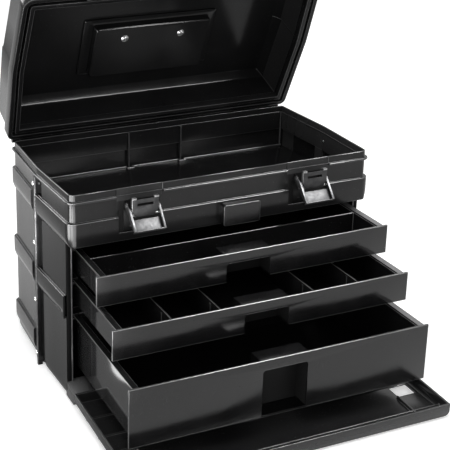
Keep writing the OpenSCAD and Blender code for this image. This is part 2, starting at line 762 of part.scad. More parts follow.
module latch_base(x) translate([x, 0, 0]) {
    block([-latch_plate_hw, -hd, latch_plate_z0], [latch_plate_hw, -hd - metal_t, latch_plate_z1]);
    for (k = [-1, 1]) difference() {
        union() {
            block([k * ear_x0, -hd, latch_z - 5], [k * (ear_x0 + metal_t), latch_y, latch_z + 4]);
            rod_x(k > 0 ? ear_x0 : -ear_x0 - metal_t, k > 0 ? ear_x0 + metal_t : -ear_x0, latch_y, latch_z, 4);
        }
        rod_x(-30, 30, latch_y, latch_z, latch_pin_r);
    }
    for (k = [-1, 1])
        rod_x(k > 0 ? ear_x0 - 0.3 : -lever_x1 - 0.8, k > 0 ? lever_x1 + 0.8 : -ear_x0 + 0.3,
              latch_y, latch_z, latch_pin_r);
}

module latch_base_left() color(steel) latch_base(-latch_x);
module latch_base_right() color(steel) latch_base(latch_x);

module latch_rivets() color(steel)
    for (s = [-1, 1], k = [-1, 1])
        translate([s * latch_x + k * 14, -hd - metal_t, latch_plate_z0 + 6]) rotate([90, 0, 0]) dome(2, 1);

// Drawn hanging straight down from its pivot, then swung out
module latch_lever(x) translate([x, latch_y, latch_z]) rotate([-lever_open, 0, 0]) {
    for (k = [-1, 1]) difference() {
        union() {
            rod_x(k > 0 ? lever_x0 : -lever_x1, k > 0 ? lever_x1 : -lever_x0, 0, 0, 4.5);
            block([k * lever_x0, 3.2, -lever_l], [k * lever_x1, -7, -3]);
        }
        rod_x(-30, 30, 0, 0, latch_pin_r + 0.15);
        rod_x(-30, 30, 0, -lever_throw, latch_pin_r);
    }
    block([-lever_x1, -7, -lever_l], [lever_x1, -7 + metal_t, -lever_throw - 4.8]);
}

module latch_lever_left() color(steel) latch_lever(-latch_x);
module latch_lever_right() color(steel) latch_lever(latch_x);

module claw_pin(x) rod_x(x - lever_x1, x + lever_x1, claw_y, claw_z, latch_pin_r);
module claw_pin_left() color(steel) claw_pin(-latch_x);
module claw_pin_right() color(steel) claw_pin(latch_x);

claw_t = 1.6;
claw_h = 27.9;
ear_w = 7.5;                           // ears of the hook
ear_h = 3.6;
module latch_claw(x) translate([x, claw_y, claw_z]) difference() {
    union() {
        rod_x(-claw_hw + 5, claw_hw - 5, 0, 0, 3);
        translate([0, -2, 0]) rotate([90, 0, 0]) linear_extrude(claw_t) polygon([
            [-claw_hw + 5, 0], [claw_hw - 5, 0], [claw_hw, 8], [claw_hw, claw_h], [-claw_hw, claw_h],
            [-claw_hw, 8]]);
        block([-claw_hw, -2 - claw_t, claw_h - 3], [claw_hw, 1.6, claw_h]);
    }
    rod_x(-30, 30, 0, 0, latch_pin_r + 0.15);
    block([-13, -5, claw_h - 13], [13, 0, claw_h - 9.5]);
    // the hook is left as an ear at each end
    block([-claw_hw + ear_w, -5, claw_h - ear_h], [claw_hw - ear_w, 3, claw_h + 1]);
}

module latch_claw_left() color(steel) latch_claw(-latch_x);
module latch_claw_right() color(steel) latch_claw(latch_x);

// ---- whole -----------------------------------------------------------------

front_shell();
rear_shell();
joint_strip_left();
joint_strip_right();
strip_rivets();
runner_left();
runner_right();
runner_screws();
compartment_floor();
floor_screws();
hinge_leaves_case();
hinge_pins();
cover_hinge_pins();
catch_base();
latch_base_left();
latch_base_right();
latch_rivets();
cover_catch();
lid_shell();
hinge_leaves_lid();
keeper_left();
keeper_right();
keeper_rivets();
handle_brackets();
handle_rivets();
handle();
latch_lever_left();
latch_lever_right();
latch_claw_left();
latch_claw_right();
claw_pin_left();
claw_pin_right();
drawer_1();
drawer_2();
drawer_2_dividers();
drawer_3();
front_cover();
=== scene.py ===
import json
import math
import bpy
import bmesh
from mathutils import Matrix, Vector

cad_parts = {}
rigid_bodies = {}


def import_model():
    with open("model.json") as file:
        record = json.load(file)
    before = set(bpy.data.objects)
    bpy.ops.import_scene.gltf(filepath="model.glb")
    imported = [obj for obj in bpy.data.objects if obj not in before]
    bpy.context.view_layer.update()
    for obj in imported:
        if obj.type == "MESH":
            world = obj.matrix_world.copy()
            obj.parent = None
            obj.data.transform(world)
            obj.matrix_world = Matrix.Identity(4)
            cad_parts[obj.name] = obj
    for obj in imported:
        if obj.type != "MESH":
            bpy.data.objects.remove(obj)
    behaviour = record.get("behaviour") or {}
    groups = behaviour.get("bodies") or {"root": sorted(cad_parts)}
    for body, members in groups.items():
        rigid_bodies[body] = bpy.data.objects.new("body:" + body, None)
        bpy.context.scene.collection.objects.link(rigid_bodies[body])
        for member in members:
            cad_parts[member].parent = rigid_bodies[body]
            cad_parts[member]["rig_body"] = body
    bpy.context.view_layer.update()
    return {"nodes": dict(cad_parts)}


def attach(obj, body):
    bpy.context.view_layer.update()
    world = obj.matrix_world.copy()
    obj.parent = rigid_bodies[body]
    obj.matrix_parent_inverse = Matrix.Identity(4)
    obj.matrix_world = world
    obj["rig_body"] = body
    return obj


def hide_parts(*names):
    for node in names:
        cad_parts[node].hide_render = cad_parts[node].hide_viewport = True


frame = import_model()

# Sizes in millimetres, as the case, lid and drawers have them
MM = 0.001
HW, HD, BULGE = 250.0, 128.0, 5.0           # half width, half depth, how far the sides lean out
SEAM_HW = HW + BULGE                        # half width at the seam, halfway along the sides
CORNER, REAR_CORNER, ROUND_STEPS = 9.5, 5.0, 3
CASE_H, LIP_Z, PANEL_Z, DECK_Z = 337.0, 326.5, 257.0, 266.0
POST_Y, OPEN_HW = -109.5, 241.5
WALL, RIM, LIP_OUT, LIP_T = 3.0, 2.4, 4.5, 3.0
BELT_OUT, BELT_H = 4.7, 37.0
BELT_TOPS = (294.0, 172.5, 54.0)
BASE_H, BASE_IN, FLOOR_T, FLOOR_IN = 17.0, 9.0, 4.0, 30
SHARP = 25                                  # edges sharper than this many degrees are rounded
SEAM, FOOT_Y, CHANNEL_Y, CHANNEL = 0.25, 19.5, 17.0, 2.3
LATCH_X, LIP_RECESS, BELT_RECESS, BELT_RECESS_Z = 141.5, 37.0, 34.0, 270.0
LID_Z0, SKIRT_OUT, SKIRT_H, LID_H, LID_OUT, LID_BEVEL = 327.2, 8.8, 20.0, 81.0, 2.0, 11.5
LID_TOP = LID_Z0 + LID_H
BARREL_Y, BARREL_Z, LID_OPEN = 143.0, 332.7, 67.4
POCKET_HW, POCKET_Y0, POCKET_Y1, POCKET_Z = 103.0, 72.8, -23.2, 389.2
RIB_X, BEAD_IN = 48.5, 5.2                  # ribs of the rear wall, beads in the inner corners
SIDES = ((-1, "left"), (1, "right"))


# ---- materials ---------------------------------------------------------------

def material(name):
    """An empty node material with a Principled shader."""
    m = bpy.data.materials.new(name)
    m.use_nodes = True
    nt = m.node_tree
    nt.nodes.clear()
    out = nt.nodes.new("ShaderNodeOutputMaterial")
    bsdf = nt.nodes.new("ShaderNodeBsdfPrincipled")
    nt.links.new(bsdf.outputs[0], out.inputs[0])
    return m, nt, bsdf


def noise(nt, scale, detail=2.0, stretch=(1, 1, 1), rough=0.5):
    """Noise fixed to the object."""
    co = nt.nodes.new("ShaderNodeTexCoord")
    mp = nt.nodes.new("ShaderNodeMapping")
    mp.inputs["Scale"].default_value = stretch
    tex = nt.nodes.new("ShaderNodeTexNoise")
    tex.inputs["Scale"].default_value = scale
    tex.inputs["Detail"].default_value = detail
    tex.inputs["Roughness"].default_value = rough
    nt.links.new(co.outputs["Object"], mp.inputs[0])
    nt.links.new(mp.outputs[0], tex.inputs["Vector"])
    return tex.outputs["Fac"]


def remap(nt, value, lo, hi, a=0.3, b=0.7):
    """Maps a value from a...b to lo...hi."""
    n = nt.nodes.new("ShaderNodeMapRange")
    n.inputs["From Min"].default_value = a
    n.inputs["From Max"].default_value = b
    n.inputs["To Min"].default_value = lo
    n.inputs["To Max"].default_value = hi
    nt.links.new(value, n.inputs["Value"])
    return n.outputs[0]


def math_node(nt, op, a, b):
    n = nt.nodes.new("ShaderNodeMath")
    n.operation = op
    for i, v in enumerate((a, b)):
        if isinstance(v, (int, float)):
            n.inputs[i].default_value = v
        else:
            nt.links.new(v, n.inputs[i])
    return n.outputs[0]


def mix_colour(nt, fac, a, b):
    n = nt.nodes.new("ShaderNodeMix")
    n.data_type = "RGBA"
    nt.links.new(fac, n.inputs["Factor"])
    for s, v in (("A", a), ("B", b)):
        sock = [i for i in n.inputs if i.name == s and i.type == "RGBA"][0]
        if isinstance(v, tuple):
            sock.default_value = (*v, 1)
        else:
            nt.links.new(v, sock)
    return [o for o in n.outputs if o.type == "RGBA"][0]


def bumps(nt, bsdf, layers):
    """Chains bump layers of (height, strength, distance)."""
    normal = None
    for value, strength, distance in layers:
        b = nt.nodes.new("ShaderNodeBump")
        b.inputs["Strength"].default_value = strength
        b.inputs["Distance"].default_value = distance
        nt.links.new(value, b.inputs["Height"])
        if normal is not None:
            nt.links.new(normal, b.inputs["Normal"])
        normal = b.outputs[0]
    nt.links.new(normal, bsdf.inputs["Normal"])


def plastic(name, dark, light, rough_lo, rough_hi, grain=0.25, streak=0.3, wave=0.12, shine=0.5):
    """Injection-moulded black plastic: fine grain, slow sheen changes, faint flow streaks and dust."""
    m, nt, bsdf = material(name)
    grainy = noise(nt, 1400, 2)
    slow = noise(nt, 7, 3)
    streaks = noise(nt, 26, 4, (1, 1, 0.12), 0.6)
    specks = noise(nt, 420, 1)
    tone = math_node(nt, "ADD", math_node(nt, "MULTIPLY", streaks, streak),
                     math_node(nt, "MULTIPLY", slow, 1 - streak))
    colour = mix_colour(nt, remap(nt, tone, 0, 1, 0.32, 0.68), dark, light)
    dust = remap(nt, specks, 0, 0.35, 0.70, 0.78)
    colour = mix_colour(nt, dust, colour, tuple(4.0 * c for c in light))
    nt.links.new(colour, bsdf.inputs["Base Color"])
    nt.links.new(remap(nt, tone, rough_lo, rough_hi, 0.35, 0.65), bsdf.inputs["Roughness"])
    bsdf.inputs["Specular IOR Level"].default_value = shine
    bumps(nt, bsdf, [(noise(nt, 34, 2), wave, 0.0006), (grainy, grain, 0.00006)])
    return m


def metal(name, dark, light, rough_lo, rough_hi, brushed=(1, 1, 1), scale=300):
    """Zinc-plated or bright steel, with brush lines, stains and rubbed spots."""
    m, nt, bsdf = material(name)
    lines = noise(nt, scale, 3, brushed)
    stains = noise(nt, 90, 3)
    colour = mix_colour(nt, remap(nt, stains, 0, 1, 0.35, 0.7), light, dark)
    nt.links.new(colour, bsdf.inputs["Base Color"])
    bsdf.inputs["Metallic"].default_value = 1.0
    nt.links.new(remap(nt, lines, rough_lo, rough_hi), bsdf.inputs["Roughness"])
    bumps(nt, bsdf, [(stains, 0.15, 0.0002), (lines, 0.35, 0.00008)])
    return m


BLACK = (0.0075, 0.0075, 0.0078)
SOFT_BLACK = (0.014, 0.014, 0.0144)
case_mat = plastic("case_plastic_black", (0.0105, 0.0105, 0.0108), (0.018, 0.018, 0.0184), 0.15, 0.24,
                   shine=0.32)
lid_mat = plastic("lid_plastic_black", (0.012, 0.012, 0.0123), (0.02, 0.02, 0.0204), 0.12, 0.18,
                  grain=0.15, shine=0.2)
# painted shade: a darker, duller copy of the lid plastic for the underside of its rim
rim_painted_shade_mat = plastic("lid_rim_painted_shade", BLACK, SOFT_BLACK, 0.2, 0.3, shine=0.18)
drawer_mat = plastic("drawer_plastic_black", BLACK, SOFT_BLACK, 0.13, 0.22, streak=0.6)
# painted light: lighter than the other black plastics, to brighten the cover's front, which mirrors shaded floor
cover_painted_light_mat = plastic("cover_plastic_painted_light", (0.016, 0.016, 0.0164), (0.028, 0.028, 0.0285), 0.16, 0.26)
# painted light: the drawers' outer sides are a lighter, glossier copy of the drawer plastic
drawer_side_painted_light_mat = plastic("drawer_side_painted_light", (0.026, 0.026, 0.0265), (0.036, 0.036, 0.0365), 0.07, 0.1,
                   grain=0.05, streak=0.6, wave=0.03, shine=0.3)
# painted light: the inside of the right walls is a lighter copy of the plastic
inner_painted_light_mat = plastic("inner_side_painted_light", (0.034, 0.034, 0.0345), (0.048, 0.048, 0.0485), 0.2, 0.3, shine=0.3)
# painted light: a lighter matt plastic on the panel and rim above each latch
latch_field_painted_light_mat = plastic("latch_field_painted_light", (0.03, 0.03, 0.0305), (0.042, 0.042, 0.0425), 0.6, 0.7, shine=0.2)
fit_mat = plastic("fittings_plastic_black", BLACK, SOFT_BLACK, 0.18, 0.28)
# painted highlight: a lighter plastic on rounded edges and beads stands in for the light they catch
painted_edge_highlight_mat = plastic("plastic_painted_edge_highlight", (0.06, 0.06, 0.061), (0.11, 0.11, 0.112), 0.14, 0.24, wave=0.0)
# painted light: a lighter plastic for the base ahead of the posts, which the drawers shade
sill_painted_light_mat = plastic("sill_plastic_painted_light", (0.085, 0.085, 0.086), (0.12, 0.12, 0.121), 0.35, 0.45)
# painted shade: near-black plastic for the latch recesses, the pocket behind each drawer notch and the lid's step
painted_shade_mat = plastic("recess_plastic_black", (0.003, 0.003, 0.003), (0.005, 0.005, 0.005), 0.5, 0.6, shine=0.2)
# painted shade: near-black, almost unreflecting plastic for the posts, which lie in the panel's shade
post_painted_shade_mat = plastic("post_plastic_black", (0.003, 0.003, 0.003), (0.005, 0.005, 0.005), 0.6, 0.7, shine=0.04)
# painted highlight: lighter, shinier plastic on the drawers' rounded edges and the right flange tops
drawer_painted_highlight_mat = plastic("drawer_painted_edge_highlight", (0.1, 0.1, 0.101), (0.16, 0.16, 0.162), 0.16, 0.26,
                      wave=0.0, shine=0.9)
hinge_mat = metal("hinge_steel_black", (0.018, 0.018, 0.018), (0.025, 0.025, 0.025), 0.36, 0.44)
claw_mat = metal("claw_steel_dull", (0.045, 0.045, 0.046), (0.07, 0.07, 0.071), 0.5, 0.62, (1, 1, 0.1), 420)
floor_mat = plastic("compartment_floor_black", BLACK, SOFT_BLACK, 0.16, 0.24, grain=0.03, wave=0.03, shine=0.2)
handle_mat = plastic("handle_plastic_black", BLACK, SOFT_BLACK, 0.38, 0.5, grain=0.5)
strip_mat = metal("strip_metal_dark", (0.03, 0.03, 0.031), (0.06, 0.06, 0.061), 0.28, 0.42, (1, 1, 0.06), 200)
# painted highlight: bright metal for the crest along the strip's nose
crest_painted_highlight_mat = metal("strip_metal_painted_highlight", (0.3, 0.3, 0.303), (0.45, 0.45, 0.453), 0.25, 0.36, (1, 1, 0.06), 200)
latch_mat = metal("latch_steel_zinc", (0.05, 0.05, 0.051), (0.09, 0.09, 0.091), 0.4, 0.55, (1, 1, 0.08), 420)
# painted highlight: bright steel for the claw's hooks and left edge
claw_painted_highlight_mat = metal("latch_steel_painted_highlight", (0.3, 0.3, 0.302), (0.5, 0.5, 0.502), 0.25, 0.4, (1, 1, 0.1), 420)
# painted highlight: lighter steel for the lever's flanges and rounded edges
arm_painted_highlight_mat = metal("latch_arm_painted_highlight", (0.065, 0.065, 0.066), (0.11, 0.11, 0.112), 0.35, 0.5, (1, 1, 0.1), 420)
pin_mat = metal("pin_steel_bright", (0.6, 0.6, 0.6), (0.85, 0.85, 0.85), 0.22, 0.36, (1, 1, 1), 500)
MATS = {"case_plastic": case_mat, "lid_plastic": lid_mat, "drawer_plastic": drawer_mat,
        "cover_plastic": cover_painted_light_mat, "fittings_plastic": fit_mat, "handle_plastic": handle_mat,
        "strip_metal": strip_mat, "latch_steel": latch_mat, "pin_steel": pin_mat}


# ---- mesh helpers --------------------------------------------------------------

def turns(n):
    """n equal steps round a circle, in radians."""
    return [2 * math.pi * k / n for k in range(n)]


def polar(cx, cy, r, deg):
    """The point of a circle at an angle in degrees."""
    a = math.radians(deg)
    return cx + r * math.cos(a), cy + r * math.sin(a)


def add_object(name, data):
    """A new object in the scene."""
    ob = bpy.data.objects.new(name, data)
    bpy.context.scene.collection.objects.link(ob)
    return ob


def join_rings(bm, r0, r1):
    """Faces between two closed rings of vertices."""
    n = len(r0)
    return [bm.faces.new((r0[k], r0[(k + 1) % n], r1[(k + 1) % n], r1[k])) for k in range(n)]


def rod(bm, p, q, r, painted_highlight=True):
    """A round bead from p to q, which takes the painted highlight of material 1 unless it is told not to."""
    p, q = Vector(p), Vector(q)
    turn = Vector((0, 0, 1)).rotation_difference(q - p).to_matrix()
    low, high = [[bm.verts.new(c + turn @ Vector((r * math.cos(a), r * math.sin(a), 0))) for a in turns(12)]
                 for c in (p, q)]
    for f in join_rings(bm, low, high) + [bm.faces.new(low[::-1]), bm.faces.new(high)]:
        f.material_index = 1 if painted_highlight else 0


def upright(bm, x, y, z0, z1, r):
    """An upright bead in the painted highlight of material 1."""
    rod(bm, (x, y, z0), (x, y, z1), r)


def finish_piece(name, bm, body, slot, nodes=(), angle=30, turn=None,
                 mat=None, in_metres=False, edge=None, more=()):
    """Makes the piece of a mesh: it rides on body, takes its finish from slot and stands for nodes.
    Material 0 is mat or the slot's own, 1 is the edge material, a painted highlight on plastic pieces, and more adds
    others."""
    bmesh.ops.remove_doubles(bm, verts=bm.verts, dist=1e-6 if in_metres else 1e-3)
    bmesh.ops.dissolve_degenerate(bm, edges=bm.edges, dist=1e-7 if in_metres else 1e-4)
    bmesh.ops.recalc_face_normals(bm, faces=bm.faces)
    me = bpy.data.meshes.new(name)
    bm.to_mesh(me)
    bm.free()
    if turn is not None:
        me.transform(turn)
    if not in_metres:
        me.transform(Matrix.Scale(MM, 4))
    me.shade_smooth()
    me.set_sharp_from_angle(angle=math.radians(angle))
    main = mat or MATS[slot]
    me.materials.append(main)
    me.materials.append(edge or (painted_edge_highlight_mat if slot.endswith("plastic") and mat is not painted_shade_mat else main))
    for extra in more:
        me.materials.append(extra)
    ob = add_object(name, me)
    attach(ob, body)
    if nodes:
        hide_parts(*nodes)


def soften(corners):
    """Points of a closed outline whose corners (a, b, radius) are rounded, the same number for each."""
    out = []
    n = len(corners)
    for i, (a, b, r) in enumerate(corners):
        if r <= 0:
            out.append((a, b))
            continue
        p = Vector((a, b))
        prv, nxt = Vector(corners[i - 1][:2]), Vector(corners[(i + 1) % n][:2])
        d0, d1 = prv - p, nxt - p
        t = min(r, d0.length * 0.49, d1.length * 0.49)
        q0 = p + (d0.normalized() * t if d0.length > 1e-9 else d0)
        q1 = p + (d1.normalized() * t if d1.length > 1e-9 else d1)
        for k in range(ROUND_STEPS + 1):
            s = k / ROUND_STEPS
            q = q0 * (1 - s) ** 2 + p * (2 * s * (1 - s)) + q1 * s * s
            out.append((q.x, q.y))
    return out


def rounded(corners):
    """For each segment of the softened outline, whether it lies on a rounded corner."""
    return [flag for _, _, r in corners for flag in ([True] * ROUND_STEPS + [False] if r > 0 else [False])]


def skin(bm, stations, painted_highlight=None):
    """A closed skin over rings of the same number of points; the flags say which strips take the painted highlight of
    material 1.
    """
    rings = [[bm.verts.new(p) for p in ring] for ring in stations]
    for r0, r1 in zip(rings, rings[1:]):
        for k, f in enumerate(join_rings(bm, r0, r1)):
            f.material_index = 1 if painted_highlight and painted_highlight[k] else 0
    bm.faces.new(rings[0])
    bm.faces.new(rings[-1][::-1])


def prism(bm, pts, axis, a, b, bevel=0.0, segments=2):
    """A closed outline drawn along an axis from a to b, with its edges rounded."""
    t = bmesh.new()
    lift = {"x": lambda p, s: (s, p[0], p[1]),
            "y": lambda p, s: (p[0], s, p[1]),
            "z": lambda p, s: (p[0], p[1], s)}[axis]
    r0, r1 = [[t.verts.new(lift(p, s)) for p in pts] for s in (a, b)]
    t.faces.new(r0)
    t.faces.new(r1[::-1])
    join_rings(t, r0, r1)
    bmesh.ops.recalc_face_normals(t, faces=t.faces)
    if bevel > 0:
        round_edges(t, bevel, segments)
    merge(bm, t)


def round_edges(t, bevel, segments=2):
    """Rounds the sharp edges; the new faces get material 1, on most pieces a painted highlight."""
    edges = [e for e in t.edges if len(e.link_faces) == 2 and e.calc_face_angle(0) > math.radians(SHARP)]
    bmesh.ops.bevel(t, geom=edges, offset=bevel, offset_type="OFFSET", segments=segments,
                    profile=0.5, affect="EDGES", clamp_overlap=False, loop_slide=True, material=1)


def merge(bm, t):
    """Adds the mesh t to bm."""
    me = bpy.data.meshes.new("merge")
    t.to_mesh(me)
    t.free()
    bm.from_mesh(me)
    bpy.data.meshes.remove(me)


def box(bm, x0, x1, y0, y1, z0, z1, bevel=0.6, segments=2):
    """A block with rounded edges."""
    prism(bm, [(x0, y0), (x1, y0), (x1, y1), (x0, y1)], "z", z0, z1, bevel, segments)


def side_box(bm, s, x0, x1, *rest):
    """A block on side s, between x0 and x1 off the middle."""
    box(bm, *sorted((s * x0, s * x1)), *rest)


def round_rect(x0, x1, y0, y1, r, first=0):
    """Points of a rectangle with rounded corners, from the corner that starts at the angle first."""
    centre = {0: (x1 - r, y1 - r), 90: (x0 + r, y1 - r), 180: (x0 + r, y0 + r), 270: (x1 - r, y0 + r)}
    return [polar(*centre[a % 360], r, a % 360 + 15 * k) for a in range(first, first + 360, 90) for k in range(7)]


def dress(node, slot, bevel, mat=None):
    """A piece with the node's own shape and rounded edges."""
    src = frame["nodes"][node]
    bm = bmesh.new()
    bm.from_mesh(src.data)
    bmesh.ops.remove_doubles(bm, verts=bm.verts, dist=2e-6)
    bmesh.ops.dissolve_limit(bm, angle_limit=math.radians(0.7), verts=bm.verts, edges=bm.edges)
    round_edges(bm, bevel * MM)
    finish_piece(node + "_piece", bm, src["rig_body"], slot, (node,), mat=mat, in_metres=True)


# ---- outline of the case and lid ---------------------------------------------

def corner_point(sx, sy, deg, o, base=None):
    """A point on a corner of the given base radius, o outside the wall."""
    if base is None:
        base = CORNER if sy < 0 else REAR_CORNER
    r = max(base + o, 2.0)
    x, y = polar(HW + o - r, HD + o - r, r, deg)
    return sx * x, sy * y


def side_point(sx, y, o):
    """A point on a side, which leans from the corners out to the seam."""
    return sx * (SEAM_HW + o - abs(y) * BULGE / (HD - CORNER)), y


ARC = [0, 11, 22.5, 34, 45, 56, 67.5, 79, 90]


def taper(top, flat):
    """Lower part of a belt: flat = 1 gives a square lower edge, 0 the curved draw-in."""
    shape = [(0.0, 37.0), (1.5, 34.2), (3.1, 30.5), (4.2, 26.6), (BELT_OUT, 23.0)]
    return [(o + (BELT_OUT - o) * flat, top - d, 0.5 if i in (0, 4) else 0)
            for i, (o, d) in enumerate(shape)]


def base_curve():
    """The curve that draws the walls in at the base."""
    arc = [math.radians(90 * i / 4) for i in range(5)]
    return [(-BASE_IN * (1 - math.sin(a)), BASE_H * (1 - math.cos(a)), 0) for a in arc]


# back of the rim, and the inner foot of a wall with the edge of the floor
RIM_BACK = [(-RIM, CASE_H, 0.8), (-RIM, LIP_Z, 0.5), (-WALL, LIP_Z, 0.5)]
FOOT = [(-WALL, BASE_H + 2, 1), (-WALL - 3, 8, 1), (-BASE_IN - 3, FLOOR_T, 1),
        (-FLOOR_IN, FLOOR_T, 0), (-FLOOR_IN, 0, 0)]


def wall_profile(belt_tops, flat, high, belt=1.0, sink=0.0):
    """Section of a side or rear wall up to high, with the lip and rim when it reaches the top.
    belt = 0 leaves the belts out, sink sets the wall between them back."""
    pts = [(o - sink, z, r) for o, z, r in base_curve()]
    for top in sorted(belt_tops):
        pts += [(-sink, top - BELT_H - 0.01, 0.3)]
        pts += [(max(o * belt, -sink) if o > 0 else -sink, z, r) for o, z, r in taper(top, flat)]
        pts += [(BELT_OUT * belt, top, 1.0), (-sink, top, 0.35)]
    if high == CASE_H:
        pts += [(-sink, LIP_Z - LIP_T, 0.3), (LIP_OUT, LIP_Z - LIP_T, 0.9), (LIP_OUT, LIP_Z, 1.1),
                (0, LIP_Z, 0.3), (0, CASE_H, 0.9)] + RIM_BACK
    else:
        pts += [(-sink, high, 0), (-WALL - sink, high, 0)]
    return pts


def hollow(top, belt=1.0):
    """Inner face behind a belt."""
    deep = (BELT_OUT - WALL) * belt - WALL * (1 - belt)
    return [(-WALL, top - WALL + 4.5, 0.4), (deep, top - WALL + 4.0, 0.8),
            (deep, top - BELT_H + WALL, 0.8), (-WALL, top - BELT_H + WALL - 0.5, 0.4)]


# ---- rear half of the case ------------------------------------------------------

def rear_section(belt=1.0):
    """Section of the rear half: up the outside and down the inside, with the two upper belts hollow."""
    return wall_profile(BELT_TOPS, 0.0, CASE_H, belt) + [p for t in BELT_TOPS[:2] for p in hollow(t, belt)] + FOOT


def rear_shell():
    """Rear half of the case; its belts end where the foot of the joint strip begins."""
    bm = bmesh.new()
    painted_highlight = rounded(rear_section())
    sec, bare = soften(rear_section()), soften(rear_section(0.0))
    stations = []
    for sx in (-1, 1):
        parts = ((SEAM, bare), (FOOT_Y + 0.3, bare), (FOOT_Y + 1.2, sec), (50.0, sec), (90.0, sec))
        rings = [[(*side_point(sx, y, o), z) for o, z in part] for y, part in parts]
        arc = [[(*corner_point(sx, 1, a, o), z) for o, z in sec] for a in (ARC if sx < 0 else ARC[::-1])]
        stations += rings + arc if sx < 0 else arc + rings[::-1]
    skin(bm, stations, painted_highlight=painted_highlight)
    # ribs on the inner rear wall and the ledge under the compartment floor
    for x in (-RIB_X, RIB_X):
        box(bm, x - 1.5, x + 1.5, HD - WALL - 2.6, HD - 1.5, DECK_Z - 3, LIP_Z - 1.5, 0.6)
    box(bm, -HW + 12, HW - 12, HD - WALL - 6, HD - 1.5, DECK_Z - 6, DECK_Z - 3.1, 0.4)
    seam_x, rear_x, rear_y = SEAM_HW - FLOOR_IN + 1, HW - FLOOR_IN - 1, HD - FLOOR_IN - 1
    plate = [(-seam_x, SEAM), (-rear_x, rear_y), (rear_x, rear_y), (seam_x, SEAM)]
    prism(bm, plate, "z", 0.2, FLOOR_T - 0.2)
    seam_flange(bm, 1)
    light_side(bm, DECK_Z)
    finish_piece("case_rear", bm, "case", "case_plastic", ("rear_shell",), more=(inner_painted_light_mat,))


def light_side(bm, low):
    """Paints the inside of the right wall lighter, as painted light for the room light it catches."""
    bm.normal_update()
    for f in bm.faces:
        c = f.calc_center_median()
        on_wall = HW - 14 < c.x < SEAM_HW - 2.5 and c.z > low and abs(c.y) < HD - 4
        if on_wall and abs(f.normal.x) > 0.9 and f.material_index == 0:
            f.material_index = 2


def seam_flange(bm, s):
    """Flange at the seam of the front half (s = -1) or the rear half (1)."""
    for sx in (-1, 1):
        side_box(bm, sx, SEAM_HW - WALL, SEAM_HW + 5, *sorted((s * 0.2, s * 2.6)), 0.0, LIP_Z - LIP_T - 0.05, 0.3)


# ---- front half of the case -----------------------------------------------------

def panel_section(lip, belt, flat, inner_hollow, sink=0.0):
    """Section of the upper band: lip and belt are 1 where they stand proud and 0 in a recess."""
    lo, bo, rim = LIP_OUT * lip, BELT_OUT * belt, -0.9 * (1 - lip)
    top = BELT_TOPS[0]
    pts = [(-WALL, PANEL_Z, 0.5)] + taper(top, flat)[:4]
    pts[1] = (pts[1][0], PANEL_Z, 0.8)
    pts += [(BELT_OUT, BELT_RECESS_Z, 0.5), (bo, BELT_RECESS_Z, 0.4)]
    pts += [(bo, top, 1.1), (-sink, top, 0.35), (-sink, LIP_Z - LIP_T, 0.3), (lo, LIP_Z - LIP_T, 0.9),
            (lo, LIP_Z, 1.2), (rim, LIP_Z, 0.3), (rim, CASE_H, 0.9)] + RIM_BACK
    deep = -WALL + BELT_OUT * inner_hollow
    pts += [(-WALL, top + 1.5, 0.4), (deep, top + 1.0, 0.8),
            (deep, top - BELT_H + WALL, 0.8), (-WALL, top - BELT_H + WALL - 0.5, 0.4)]
    return pts


def band_ring(x, lip, belt):
    """Ring of the upper band's front face at x."""
    return [(x, -HD - o, z) for o, z in soften(panel_section(lip, belt, 1.0, 0))]


